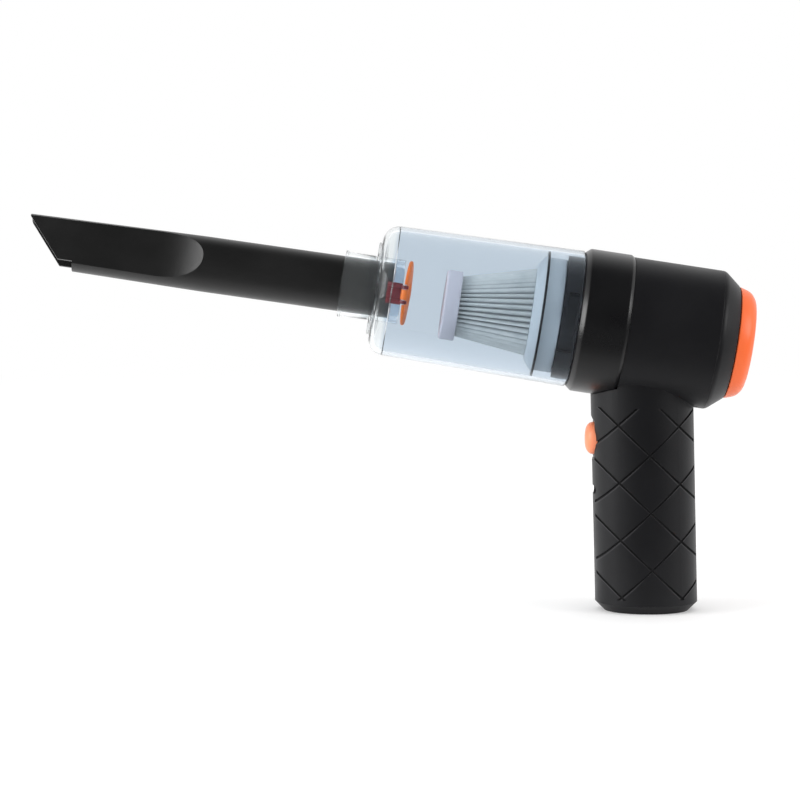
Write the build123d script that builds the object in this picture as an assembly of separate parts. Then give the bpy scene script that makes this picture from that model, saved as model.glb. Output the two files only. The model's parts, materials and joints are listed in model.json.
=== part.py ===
from build123d import *
from math import atan2, cos, degrees, radians, sin, sqrt, tan
import os

# Desktop mini vacuum cleaner, millimetres and degrees.
# Frame: origin at the centre of the handle's flat base, Z up, the nose towards -X.
# The barrel is built in its own frame first: Z runs along its axis to the rear (a "station"),
# X is up and Y is the near side. Station 0 lies just in front of the handle's centre.

# ---------------------------------------------------------------- overall form
TILT = 8.65                 # the nose points up by this angle
GRIP_LENGTH = 89.5          # base to the barrel's underside, over the base's centre
HANDLE_LEAN = 1.6           # the handle leans towards the nose
HANDLE_SET_BACK = 0.8       # the handle's centre lies this far behind station 0
HANDLE_DEPTH = 43.3         # fore and aft
HANDLE_WIDTH = 38.5         # side to side
BARREL_R = 29.4             # main barrel
BARREL_FRONT = -9.5         # stations where the visible barrel starts and ends
BARREL_REAR = 28.1
WALL = 2.0                  # moulded wall of the housing

# ---------------------------------------------------------------- clearances
SEAT_GAP = 0.15             # between pieces that are pressed or clipped together
MOVE_GAP = 0.3              # between pieces that move past each other
SHAFT_GAP = 0.05            # running fit of a shaft or pin, radial
TOUCH_GAP = 0.02            # between flat faces that lie on each other

# ---------------------------------------------------------------- collar and intake
COLLAR_FRONT = -30.3
COLLAR_PROUD = 0.8          # the collar stands out from the barrel
COLLAR_CHAMFER = 1.5
COLLAR_LIP = 2.0            # length of the collar's inner lip over the guard
NECK_STEP = 1.3             # the housing's neck lies this far inside the barrel
NECK_FRONT = -24.0
SPIGOT_R = 25.9             # the cup slides over this
SPIGOT_FRONT = -37.6
SPIGOT_WALL = 3.0
GUARD_FLANGE = 1.7
NOSE_R = 22.4               # the filter is pushed over this
NOSE_LENGTH = 3.6
GRILLE_R = 19.0
GRILLE_THICK = 2.4
GRILLE_RINGS = (8.0, 13.5)
GRILLE_BAR = 1.7
GRILLE_SPOKES = 8
GRILLE_HUB = 3.0
LUG_COUNT = 3               # bayonet
LUG_FIRST = 78.0            # angle of the first lug, just above the near side
LUG_ARC = 26.0
LUG_HEIGHT = 1.2
LUG_LENGTH = 3.6
LUG_SETBACK = 1.6           # lugs stop this far in front of the collar
TRACK_PLAY = 3.0            # extra angle of the tracks
CUP_TURN = 28.0             # turn that frees the cup

# ---------------------------------------------------------------- dust cup
CUP_WALL = 1.8
CUP_SLIDE = 1.2             # play of the cup over the spigot
CUP_TAPER = 1.5             # the straight side narrows by this much to the front
CUP_FRONT = -110.0          # station where the straight side ends in the shoulder
SHOULDER_FRONT = -115.4
SHOULDER_R = 19.2
SHOULDER_CROWN = (1.9, 2.4)     # the shoulder's middle, back from its front and in from the side
SHOULDER_INSIDE = (3.3, 4.0)    # the same for its inner face

# ---------------------------------------------------------------- inlet sleeve
FLANGE_R = 19.5
FLANGE_THICK = 1.0
SLEEVE_FRONT = -129.8
SLEEVE_WALL = 1.6
SLEEVE_RIM = 0.5
SLEEVE_RIM_LENGTH = 1.2
PIPE_REAR = -104.2          # inner pipe that ends at the flap
PIPE_STOP = -108.1          # the nozzle's spigot stops here

# ---------------------------------------------------------------- inlet flap
FLAP_THICK = 1.4
FLAP_BOSS_R = 4.0
FLAP_BOSS = 0.7
FLAP_KNUCKLE_R = 1.4
FLAP_PIN_R = 0.6
FLAP_PIN_OUT = 2.4          # hinge line, this far outside the pipe on the near side
FLAP_EAR_R = 1.5
FLAP_EAR_THICK = 1.4
FLAP_EAR_GAP = 4.8          # space between the two ears
FLAP_AJAR = 5.0             # at rest the soft flap stands open by this angle
SADDLE_LENGTH = 6.2
SADDLE_THICK = 1.6
SADDLE_ARC = 34.0
PIN_PROUD = 0.4             # the pin stands out of each ear

# ---------------------------------------------------------------- crevice nozzle
NOZZLE_R = 11.7
NOZZLE_DRAFT = 1.0          # the tip's rounded strips are this much lower than the tube
NOZZLE_DROOP = 0.55         # the nozzle hangs by this angle in its sleeve
NOZZLE_WALL = 1.3
NOZZLE_TIP = -264.0
NOZZLE_FLAT = 6.0           # flats lie this far from the axis
NOZZLE_TURN = 18.0          # the flats are turned up by this angle
SCOOP_END = -188.4          # the scooped run-out reaches the round tube here
SCOOP_LENGTH = 20.0
TIP_ANGLE = 50.5            # the mouth is cut at this angle to the axis
LIP_START = -242.7          # the rounded underside starts behind the mouth
LIP_STEP = 0.6              # the underside is cut off this far above the flats' lower edge

# ---------------------------------------------------------------- filter
FILTER_CAP_FRONT = -86.5
FILTER_CAP_REAR = -79.9
FILTER_CAP_R = 14.7
FILTER_CAP_EDGE = 0.8
FILTER_SAG = 2.2            # the soft paper lets the small end hang this much below the axis
CAP_SKIN = 2.0              # front wall of the filter's cap
PLEAT_REAR = -50.0
PLEAT_SMALL_R = 12.8
PLEAT_LARGE_R = 18.7
PLEAT_SHARE = 0.86          # inner edge of the folds, as a share of the outer
PLEAT_COUNT = 40
PLEAT_BORE = 0.75           # bore inside the folds, likewise
FILTER_FLANGE_R = 20.3
FLANGE_SKIN = 1.5
GASKET_STATION = -46.2
GASKET_THICK = 1.0
GASKET_DEEP = 1.6
BASE_RING_WALL = 1.4        # ring that pushes over the guard's nose

# ---------------------------------------------------------------- fan and motor
FAN_FRONT = -21.5
FAN_CASE_WALL = 1.4
FAN_EYE_R = 10.5
FAN_LIP = 1.2
FAN_ROOM = 2.9              # space round the fan
FAN_BLADES = 9
FAN_PLATE = -8.9            # rear face of the fan's back plate
FAN_PLATE_THICK = 1.1
FAN_HUB_R = 4.2
BLADE_START = 6.5
BLADE_MIDDLE = (14.5, 3.4)
BLADE_SWEEP = 7.0
BLADE_THICK = 1.1
BLADE_HEIGHT = 8.2
BLADE_STEP = 2.4            # blades are lower inside the eye
PLATE_FRONT = -7.4          # motor plate
PLATE_THICK = 2.0
PLATE_WINDOWS = (17.2, 23.4)    # inner and outer radius
PLATE_WINDOW_COUNT = 12
PLATE_WINDOW_ARC = 20.0
MOTOR_R = 18.0
MOTOR_LENGTH = 36.0
MOTOR_WALL = 1.2
BELL_THICK = 2.6
BELL_PLUG = 3.5
TERMINAL_OUT = 9.0          # solder tabs, from the axis
TERMINAL_WIDTH = 3.6
TERMINAL_THICK = 0.6
TERMINAL_PROUD = 3.2
MAGNET_THICK = 2.8
MAGNET_LENGTH = 25.0
MAGNET_ARC = 130.0
MAGNET_START = 3.6          # behind the can's front
ARMATURE_GAP = 0.5          # air between the magnets and the armature
ARMATURE_LENGTH = 19.0
ARMATURE_START = 5.5        # behind the can's front
SLOT_COUNT = 3              # winding slots in the armature
SLOT_DEPTH = 6.0
SLOT_WIDTH = 8.0
SLOT_LIP = 1.4
SLOT_MOUTH = 1.6
COIL_END = 1.6              # coils stand out of the core
COMMUTATOR_R = 3.6
COMMUTATOR_LENGTH = 5.4
SHAFT_R = 1.15
BUSH_R = 3.0
BUSH_LENGTH = 4.0
CUSHION_THICK = 1.3
CUSHION_WIDTH = 4.0
RIB_STATIONS = (3.0, 20.0)
RIB_THICK = 1.8
RIB_RIM = 2.0               # material left round the ribs' windows
RIB_WINDOW_ARC = 50.0

# ---------------------------------------------------------------- rear
BEZEL_EDGE = 1.2            # plain strip before the bevel
BEZEL_REAR = 36.0
BEZEL_BEVEL = 5.5           # the bevel comes in by this much
BEZEL_RIM = 2.3             # rear face outside the bore
BEZEL_TAIL = 5.0            # how far the bezel reaches into the barrel
CAP_INSET = 0.2             # the cap's front edge lies this far inside the bezel's rear edge
CAP_LENGTH = 7.25
CAP_FLARE = 3.4             # length of the cap's drafted side, then its two bevels
CAP_BEVELS = ((2.0, 2.0), (0.0, 4.6))   # (from the rear, in from the edge)
CAP_DRAFT = 1.1
CAP_WALL = 1.8
CAP_SPIGOT_LENGTH = 4.6
CAP_SLOTS = 20
CAP_SLOT_WIDTH = 1.7
CAP_SLOT_SPAN = (7.5, 16.5)     # inner and outer end

# ---------------------------------------------------------------- handle
BASE_CHAMFER = 3.8
BASE_PLUG = 3.2             # how far the foot reaches into the handle
PLUG_WALL = 1.6
FOOT_FLOOR = 2.0
GROOVE_ANGLE = 43.6
GROOVE_PITCH = 24.2
GROOVE_START = 19.0         # height of a crossing on the pattern's centre line
GROOVE_OFFSET = 1.4         # the pattern's centre line lies behind the handle's
GROOVE_COUNT = 5
GROOVE_WIDTH = 0.8
GROOVE_DEPTH = 0.5
GROOVE_LOW = 6.0            # heights where the grooves start and end
GROOVE_HIGH = 87.0
PLAIN_STRIP = 9.0           # ungrooved strip down the front and the back

# ---------------------------------------------------------------- button and charging port
BUTTON_HEIGHT = 73.0
BUTTON_R = 6.9
BUTTON_PROUD = 2.9
BUTTON_EDGE = ((1.0, 1.2), (2.0, 0.0))  # (behind the face, in from the side)
BUTTON_FACE = 3.2           # the flat face lies this far in from the side
BUTTON_TRAVEL = 1.2
BUTTON_FLANGE = 1.4         # flange outside the button's side
BUTTON_FLANGE_THICK = 0.8
BUTTON_WALL = 1.6
BUTTON_FACE_THICK = 3.0
STEM_R = 1.6
WELL_WALL = 2.2             # wall of the well round the button
WELL_DEPTH = 5.9            # well's rear face behind the handle's front surface
RECESS_R = 9.6
RECESS_DEPTH = 0.9
PORT_HEIGHT = 51.4
PORT_WIDTH = 11.5
PORT_TALL = 3.7

# ---------------------------------------------------------------- battery and board
CELL_R = 10.55
CELL_LENGTH = 70.0
CELL_CLEAR = 0.45           # cell to the handle's rear wall at the cell's top
CELL_TIP = (3.2, 1.0)       # radius and height of the raised contact
CRADLE_WALL = 1.2
CRADLE_ROOM = 0.8           # space for a contact plate at each end of the cell
CRADLE_MOUTH = 2.0          # the trough is open from here, behind the cell's axis
CRADLE_END = 7.5            # its ends reach this far behind the axis
CONTACT_SIDE = 9.0
CONTACT_THICK = 0.5
BOARD_SETBACK = 10.8        # front face of the circuit board behind the handle's front
BOARD_THICK = 1.6
BOARD_WIDTH = 20.0
BOARD_BOTTOM = 36.0
BOARD_TOP = 84.0
BOARD_PARTS = ((42.0, 48.0, 6.0, 1.6), (58.0, 66.0, 8.0, 2.6))  # (low, high, width, thickness)
RAIL = 1.2                  # rails that hold the board's edges
SOCKET_WIDTH = 8.9
SOCKET_TALL = 3.2
SOCKET_WALL = 0.35
SOCKET_BACK = 1.2
TONGUE = (6.4, 0.7)         # width and thickness of the socket's tongue
SWITCH_SIDE = 6.0
SWITCH_DEPTH = 1.9
PLUNGER_R = 1.5
PLUNGER_LENGTH = 0.8

# ---------------------------------------------------------------- screws
BOSS_R = 3.4
SCREW_R = 1.25
SCREW_HEAD_R = 2.6
SCREW_HEAD = 1.8
SCREW_LENGTH = 15.0
SCREW_SEAT = 7.0            # heads stop this far from the split
SCREW_CROSS = (3.8, 0.7, 0.9)   # length, width and depth of the cross in the head
SCREW_INSET = 6.4           # barrel screws, in from its side
BARREL_SCREWS = ((3.0, 1), (18.5, 1), (18.0, -1))   # (station, above or below the axis)
HANDLE_SCREW = (0.0, 11.6)

# ---------------------------------------------------------------- worked out
AXIS_HEIGHT = GRIP_LENGTH + BARREL_R
LEAN_RATE = tan(radians(HANDLE_LEAN))
BARREL = Plane(origin=(-HANDLE_SET_BACK, 0, AXIS_HEIGHT),
               x_dir=(sin(radians(TILT)), 0, cos(radians(TILT))),
               z_dir=(cos(radians(TILT)), 0, -sin(radians(TILT)))).location
GRIP = Plane(origin=(0, 0, BASE_CHAMFER), x_dir=(cos(radians(HANDLE_LEAN)), 0, sin(radians(HANDLE_LEAN))),
             z_dir=(-sin(radians(HANDLE_LEAN)), 0, cos(radians(HANDLE_LEAN)))).location
HALF_X = HANDLE_DEPTH / 2
HALF_Y = HANDLE_WIDTH / 2
FAR = 200.0                 # larger than the object, for half spaces

COLLAR_R = BARREL_R + COLLAR_PROUD
NECK_R = BARREL_R - NECK_STEP
CUP_REAR_R = SPIGOT_R + CUP_SLIDE + CUP_WALL
CUP_FRONT_R = CUP_REAR_R - CUP_TAPER
SLEEVE_BORE = NOZZLE_R + MOVE_GAP
SLEEVE_R = SLEEVE_BORE + SLEEVE_WALL
FLAP_PIN_Y = SLEEVE_R + FLAP_PIN_OUT
FLAP_HINGE = PIPE_REAR + MOVE_GAP + FLAP_THICK / 2
FAN_CASE_R = NECK_R - WALL - MOVE_GAP
FAN_R = FAN_CASE_R - FAN_CASE_WALL - FAN_ROOM
MOTOR_FRONT = PLATE_FRONT + PLATE_THICK
MOTOR_REAR = MOTOR_FRONT + MOTOR_LENGTH
BEZEL_REAR_R = BARREL_R - BEZEL_BEVEL
BEZEL_BORE = BEZEL_REAR_R - BEZEL_RIM
CAP_FRONT = BEZEL_REAR + MOVE_GAP
CAP_R = BEZEL_REAR_R - CAP_INSET

HANDLE_TOP = AXIS_HEIGHT - BARREL_R / 5     # the column's hidden top, inside the barrel
FRONT_AT_BUTTON = -(HALF_X + (BUTTON_HEIGHT - BASE_CHAMFER) * LEAN_RATE)
BOARD_X = FRONT_AT_BUTTON + BOARD_SETBACK
CELL_BOTTOM = HANDLE_SCREW[1] + BOSS_R + MOVE_GAP + CRADLE_WALL + CRADLE_ROOM
CELL_TOP = CELL_BOTTOM + CELL_LENGTH
CELL_X = HALF_X - (CELL_TOP - BASE_CHAMFER) * LEAN_RATE - WALL - CELL_CLEAR - CELL_R


def turned(*points, arc=360.0):
    """A solid turned about the barrel axis from (station, radius) points."""
    outline = Polyline(*[(radius, 0, station) for station, radius in points], close=True)
    return revolve(make_face(outline), Axis.Z, arc)


def ring(start, end, outer, inner):
    """A plain ring between two stations."""
    return turned((start, inner), (start, outer), (end, outer), (end, inner))


def disc(start, end, radius):
    """A plain disc between two stations."""
    return turned((start, 0), (start, radius), (end, radius), (end, 0))


def ring_piece(start, end, outer, inner, arc, middle):
    """A stretch of a ring, `arc` degrees wide, centred on the angle `middle`."""
    piece = turned((start, inner), (start, outer), (end, outer), (end, inner), arc=arc)
    return Rot(0, 0, middle - arc / 2) * piece


def block(x0, x1, y0, y1, z0, z1):
    """A box from its limits."""
    return Pos((x0 + x1) / 2, (y0 + y1) / 2, (z0 + z1) / 2) * Box(x1 - x0, y1 - y0, z1 - z0)


def rod_y(x, z, y0, y1, radius):
    """A round bar along Y."""
    return Pos(x, (y0 + y1) / 2, z) * Rot(90, 0, 0) * Cylinder(radius, y1 - y0)


def rod_x(y, z, x0, x1, radius):
    """A round bar along X, with its surface's seam turned away from the middle plane."""
    return Pos((x0 + x1) / 2, y, z) * Rot(0, 90, 0) * Rot(0, 0, 45) * Cylinder(radius, x1 - x0)


def oval(inset):
    """The handle's section, `inset` inside its outer face: four arcs that run into each other."""
    tight = (HALF_Y + HALF_Y ** 2 / HALF_X) / 2
    wide = (HALF_X ** 2 + HALF_Y ** 2 - 2 * HALF_X * tight) / (2 * (HALF_Y - tight))
    turn = degrees(atan2(abs(wide - HALF_Y), abs(HALF_X - tight)))
    arcs = []
    for side in (0, 180):
        arcs.append(Rot(0, 0, side) * CenterArc((HALF_X - tight, 0), tight - inset, -turn, 2 * turn))
        arcs.append(Rot(0, 0, side) * CenterArc((0, HALF_Y - wide), wide - inset, turn, 180 - 2 * turn))
    return make_face(arcs)


def column(inset, z0, z1):
    """The handle's leaning column between two heights, `inset` inside its outer face."""
    bar = GRIP * extrude(oval(inset), amount=FAR, both=True)
    return bar & block(-FAR, FAR, -FAR, FAR, z0, z1)


def group(pieces):
    """Separate solids kept together in one node."""
    return Compound([solid for piece in pieces for solid in piece.solids()])


def placed(shape):
    """Carry a shape from the barrel's frame to the part's frame."""
    return BARREL * shape


# ================================================================ housing shells
def barrel_outside(extra=0.0):
    """Outer form of the barrel with its neck, grown by `extra`."""
    return turned((NECK_FRONT, 0), (NECK_FRONT, NECK_R + extra), (BARREL_FRONT, NECK_R + extra),
                  (BARREL_FRONT, BARREL_R + extra), (BARREL_REAR, BARREL_R + extra), (BARREL_REAR, 0))


def barrel_inside():
    """The hollow of the barrel and its neck."""
    return turned((NECK_FRONT - 1, 0), (NECK_FRONT - 1, NECK_R - WALL),
                  (BARREL_FRONT + WALL, NECK_R - WALL), (BARREL_FRONT + WALL, BARREL_R - WALL),
                  (BARREL_REAR + 1, BARREL_R - WALL), (BARREL_REAR + 1, 0))


def motor_rib(station):
    """A rib that carries the motor on its rubber cushion, with windows for the air."""
    hole = MOTOR_R + CUSHION_THICK + SEAT_GAP
    rib = ring(station - RIB_THICK / 2, station + RIB_THICK / 2, BARREL_R - WALL / 2, hole)
    windows = [ring_piece(station - RIB_THICK, station + RIB_THICK, BARREL_R - WALL - RIB_RIM,
                          hole + RIB_RIM, RIB_WINDOW_ARC, turn)
               for turn in (45, 135, 225, 315)]
    return rib - windows


def screw_points():
    """Places of the housing screws in the part's frame, as (x, z)."""
    points = [HANDLE_SCREW]
    for station, side in BARREL_SCREWS:
        spot = BARREL * Location((side * (BARREL_R - SCREW_INSET), 0, station))
        points.append((spot.position.X, spot.position.Z))
    return points


def board_rails():
    """Slotted rails in both shells that hold the circuit board's edges."""
    front = BOARD_X - SEAT_GAP - RAIL
    back = BOARD_X + BOARD_THICK + SEAT_GAP
    rails = []
    for side in (-1, 1):
        near, far = sorted((side * (BOARD_WIDTH / 2 - RAIL), side * FAR / 4))
        rails.append(block(front, front + RAIL, near, far, BOARD_BOTTOM, BOARD_TOP))
        rails.append(block(back, back + RAIL, near, far, BOARD_BOTTOM, BOARD_TOP))
        edge = side * (BOARD_WIDTH / 2 + SEAT_GAP)
        low, high = sorted((edge, edge + side * RAIL))
        rails.append(block(front, back + RAIL, low, high, BOARD_BOTTOM - RAIL, BOARD_TOP))
    return rails


def groove_cutters():
    """Diamond grooves: flat slices at both angles, kept to a thin skin of the handle's sides."""
    skin = column(-1, GROOVE_LOW, GROOVE_HIGH) - column(GROOVE_DEPTH, BASE_CHAMFER, HANDLE_TOP)
    skin -= block(-FAR, FAR, -PLAIN_STRIP / 2, PLAIN_STRIP / 2, -FAR, FAR)
    cutters = []
    for number in range(GROOVE_COUNT):
        height = GROOVE_START + (number - 1) * GROOVE_PITCH
        for turn in (-GROOVE_ANGLE, GROOVE_ANGLE):
            slab = Rot(0, turn, 0) * Box(FAR, FAR, GROOVE_WIDTH)
            cutters.append((Pos(GROOVE_OFFSET - height * LEAN_RATE, 0, height) * slab) & skin)
    return cutters


def grip(inset, foot):
    """The handle's column, cut to sit under the collar and meet the barrel behind it."""
    under_collar = disc(COLLAR_FRONT - 20, BARREL_FRONT + inset, COLLAR_R + SEAT_GAP + inset)
    return column(inset, foot, HANDLE_TOP) - placed(under_collar)


def housing():
    """Both housing shells in one, before they are parted down the middle."""
    outside = placed(barrel_outside()) + grip(0, BASE_CHAMFER)
    hollow = placed(barrel_inside()) + grip(WALL, BASE_CHAMFER - 1)
    shell = outside - hollow

    inside = placed(barrel_outside(extra=-WALL / 2)) + grip(WALL / 2, BASE_CHAMFER)
    supports = [placed(motor_rib(station)) for station in RIB_STATIONS]
    supports += [rod_y(x, z, -FAR / 4, FAR / 4, BOSS_R) for x, z in screw_points()]
    supports += board_rails()
    well = BUTTON_R + MOVE_GAP + WELL_WALL
    supports.append(rod_x(0, BUTTON_HEIGHT, -FAR, FRONT_AT_BUTTON + WELL_DEPTH, well))
    motor_end = MOTOR_REAR + BELL_THICK + TERMINAL_PROUD
    motor_room = placed(disc(MOTOR_FRONT - WALL, motor_end, MOTOR_R + MOVE_GAP))
    for support in supports:
        shell += (support & inside) - motor_room

    shell -= rod_x(0, BUTTON_HEIGHT, -FAR, FRONT_AT_BUTTON + RECESS_DEPTH, RECESS_R)
    shell -= rod_x(0, BUTTON_HEIGHT, -FAR, 0, BUTTON_R + MOVE_GAP)
    port = SlotOverall(PORT_WIDTH, PORT_TALL)
    port_plane = Plane(origin=(BOARD_X - WALL, 0, PORT_HEIGHT), x_dir=(0, 1, 0), z_dir=(-1, 0, 0))
    shell -= extrude(port_plane * port, amount=FAR)
    for x, z in screw_points():
        shell -= rod_y(x, z, SCREW_SEAT - SCREW_LENGTH - MOVE_GAP, FAR / 2, SCREW_R + SHAFT_GAP)
        shell -= rod_y(x, z, SCREW_SEAT, FAR / 2, SCREW_HEAD_R + SEAT_GAP)
    return shell - groove_cutters()


# ================================================================ fixed pieces of the barrel
def collar_ring():
    """Ring round the housing's neck, with a chamfered lip that the cup stops against."""
    lip_rear = NECK_FRONT - COLLAR_LIP
    return turned((COLLAR_FRONT, SPIGOT_R + SEAT_GAP), (COLLAR_FRONT, COLLAR_R - COLLAR_CHAMFER),
                  (COLLAR_FRONT + COLLAR_CHAMFER, COLLAR_R), (BARREL_FRONT, COLLAR_R),
                  (BARREL_FRONT, NECK_R + SEAT_GAP), (lip_rear, NECK_R + SEAT_GAP),
                  (lip_rear, SPIGOT_R + SEAT_GAP))


def lug_stations():
    """Front and rear of the bayonet lugs."""
    rear = COLLAR_FRONT - LUG_SETBACK
    return rear - LUG_LENGTH, rear


def lug_angles():
    """Angles of the lug centres round the axis when the cup is locked."""
    return [LUG_FIRST + number * 360 / LUG_COUNT for number in range(LUG_COUNT)]


def intake_guard():
    """Spigot that carries the cup and the filter, with bayonet tracks and a grille."""
    flange_rear = NECK_FRONT - SEAT_GAP
    flange_front = flange_rear - GUARD_FLANGE
    bore = SPIGOT_R - SPIGOT_WALL
    front, rear = SPIGOT_FRONT, SPIGOT_FRONT + GRILLE_THICK
    nose = front - NOSE_LENGTH
    guard = turned((front, GRILLE_R), (nose, GRILLE_R), (nose, NOSE_R), (front, NOSE_R), (front, SPIGOT_R),
                   (flange_front, SPIGOT_R), (flange_front, NECK_R - SEAT_GAP),
                   (flange_rear, NECK_R - SEAT_GAP), (flange_rear, bore), (rear, bore), (rear, GRILLE_R))
    lug_front, lug_rear = lug_stations()
    floor = SPIGOT_R - LUG_HEIGHT - MOVE_GAP
    entry = LUG_ARC + TRACK_PLAY
    for angle in lug_angles():
        guard -= ring_piece(lug_front - MOVE_GAP, lug_rear + MOVE_GAP, SPIGOT_R + 1, floor,
                            entry + CUP_TURN, angle + CUP_TURN / 2)
        guard -= ring_piece(front - 1, lug_rear + MOVE_GAP, SPIGOT_R + 1, floor, entry, angle + CUP_TURN)
    guard += disc(front, rear, GRILLE_HUB)
    for radius in GRILLE_RINGS:
        guard += ring(front, rear, radius + GRILLE_BAR / 2, radius - GRILLE_BAR / 2)
    for number in range(GRILLE_SPOKES):
        spoke = block(GRILLE_HUB / 2, GRILLE_R + GRILLE_BAR / 2, -GRILLE_BAR / 2, GRILLE_BAR / 2, front, rear)
        guard += Rot(0, 0, (number + 0.5) * 360 / GRILLE_SPOKES) * spoke
    return guard


def fan_case():
    """Case round the fan, open at its eye and its rear."""
    rear = PLATE_FRONT - SEAT_GAP
    inner = FAN_CASE_R - FAN_CASE_WALL
    return turned((FAN_FRONT, FAN_EYE_R), (FAN_FRONT, FAN_CASE_R), (rear, FAN_CASE_R), (rear, inner),
                  (FAN_FRONT + FAN_CASE_WALL, inner), (FAN_FRONT + FAN_CASE_WALL, FAN_EYE_R + FAN_LIP),
                  (FAN_FRONT + 2 * FAN_CASE_WALL, FAN_EYE_R))


def impeller():
    """Fan with a back plate, a hub on the shaft and swept blades."""
    front = FAN_PLATE - BLADE_HEIGHT
    fan = disc(FAN_PLATE - FAN_PLATE_THICK, FAN_PLATE, FAN_R) + disc(front + BLADE_STEP, FAN_PLATE, FAN_HUB_R)
    blade_path = ThreePointArc((BLADE_START, 0), BLADE_MIDDLE, (FAN_R - FAN_PLATE_THICK, BLADE_SWEEP))
    blade = extrude(trace(blade_path, BLADE_THICK), amount=BLADE_HEIGHT - FAN_PLATE_THICK / 2)
    for number in range(FAN_BLADES):
        fan += Rot(0, 0, number * 360 / FAN_BLADES) * Pos(0, 0, front) * blade
    eye_room = disc(front - 1, front + BLADE_STEP, FAN_EYE_R + BLADE_STEP)
    return fan - eye_room - disc(front - 1, FAN_PLATE + 1, SHAFT_R + SHAFT_GAP)


def motor_plate():
    """Plate that carries the motor's front and turns the air past it."""
    rear = MOTOR_FRONT - SEAT_GAP
    plate = ring(PLATE_FRONT, rear, BARREL_R - WALL - SEAT_GAP, BUSH_R + SEAT_GAP)
    inner, outer = PLATE_WINDOWS
    for number in range(PLATE_WINDOW_COUNT):
        plate -= ring_piece(PLATE_FRONT - 1, rear + 1, outer, inner, PLATE_WINDOW_ARC,
                            number * 360 / PLATE_WINDOW_COUNT)
    return plate


def motor_can():
    """Drawn steel can with a closed front."""
    inner = MOTOR_R - MOTOR_WALL
    hole = BUSH_R + SHAFT_GAP
    return turned((MOTOR_FRONT, hole), (MOTOR_FRONT, MOTOR_R), (MOTOR_REAR, MOTOR_R),
                  (MOTOR_REAR, inner), (MOTOR_FRONT + MOTOR_WALL, inner), (MOTOR_FRONT + MOTOR_WALL, hole))


def tab_blocks(half_width, half_thick, start, end):
    """Two flat blocks beside the axis, where the solder tabs are."""
    return [block(side * TERMINAL_OUT - half_thick, side * TERMINAL_OUT + half_thick,
                  -half_width, half_width, start, end) for side in (-1, 1)]


def motor_end_bell():
    """Moulded plug that closes the can's rear and carries the brushes."""
    start, end = MOTOR_REAR - BELL_PLUG, MOTOR_REAR + BELL_THICK
    plug_r = MOTOR_R - MOTOR_WALL - SEAT_GAP
    hole = BUSH_R + SHAFT_GAP
    bell = turned((start, hole), (start, plug_r), (MOTOR_REAR + SHAFT_GAP, plug_r),
                  (MOTOR_REAR + SHAFT_GAP, MOTOR_R - MOVE_GAP), (end, MOTOR_R - MOVE_GAP), (end, hole))
    return bell - tab_blocks(TERMINAL_WIDTH / 2 + SEAT_GAP, TERMINAL_THICK / 2 + SEAT_GAP, start - 1, end + 1)


def motor_terminals():
    """Two solder tabs through the end bell."""
    end = MOTOR_REAR + BELL_THICK + TERMINAL_PROUD
    tabs = tab_blocks(TERMINAL_WIDTH / 2, TERMINAL_THICK / 2, MOTOR_REAR - BELL_PLUG + SEAT_GAP, end)
    eye = rod_x(0, end - TERMINAL_PROUD / 2, -FAR / 2, FAR / 2, TERMINAL_THICK)
    return group([tab - eye for tab in tabs])


def motor_bushes():
    """Sintered bushes in the can's front and in the end bell."""
    bore = SHAFT_R + SHAFT_GAP
    front_end = PLATE_FRONT + MOVE_GAP
    rear_end = MOTOR_REAR + BELL_THICK + MOVE_GAP
    return group([ring(front_end, front_end + BUSH_LENGTH, BUSH_R, bore),
                  ring(rear_end - BUSH_LENGTH, rear_end, BUSH_R, bore)])


def motor_magnets():
    """Two field magnets inside the can."""
    start = MOTOR_FRONT + MAGNET_START
    outer = MOTOR_R - MOTOR_WALL - SEAT_GAP
    return group([ring_piece(start, start + MAGNET_LENGTH, outer, outer - MAGNET_THICK, MAGNET_ARC, middle)
                  for middle in (0, 180)])


def armature_span():
    """Front and rear of the armature's core, and its radius."""
    start = MOTOR_FRONT + ARMATURE_START
    radius = MOTOR_R - MOTOR_WALL - SEAT_GAP - MAGNET_THICK - ARMATURE_GAP
    return start, start + ARMATURE_LENGTH, radius


def armature():
    """Slotted core and commutator on the shaft."""
    start, end, radius = armature_span()
    core = disc(start, end, radius)
    depth = radius - SLOT_DEPTH
    for number in range(SLOT_COUNT):
        slot = block(depth, radius - SLOT_LIP, -SLOT_WIDTH / 2, SLOT_WIDTH / 2, start - 1, end + 1)
        mouth = block(depth, radius + 1, -SLOT_MOUTH / 2, SLOT_MOUTH / 2, start - 1, end + 1)
        core -= Rot(0, 0, number * 360 / SLOT_COUNT) * (slot + mouth)
    core += disc(end, end + COMMUTATOR_LENGTH, COMMUTATOR_R)
    return core - disc(start - 1, end + COMMUTATOR_LENGTH + 1, SHAFT_R + SHAFT_GAP)


def armature_windings():
    """Copper coils that fill the core's slots and stand out at its ends."""
    start, end, radius = armature_span()
    half = SLOT_WIDTH / 2 - SEAT_GAP
    coil = block(radius - SLOT_DEPTH + SEAT_GAP, radius - SLOT_LIP - SEAT_GAP, -half, half,
                 start - COIL_END, end + COIL_END)
    return group([Rot(0, 0, number * 360 / SLOT_COUNT) * coil for number in range(SLOT_COUNT)])


def motor_shaft():
    """Ground shaft from the fan's hub to the rear bush."""
    return disc(FAN_PLATE - BLADE_HEIGHT + BLADE_STEP, MOTOR_REAR + BELL_THICK, SHAFT_R)


def motor_cushions():
    """Rubber bands between the motor and its ribs."""
    half = CUSHION_WIDTH / 2
    return group([ring(station - half, station + half, MOTOR_R + CUSHION_THICK, MOTOR_R + SHAFT_GAP)
                  for station in RIB_STATIONS])


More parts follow.
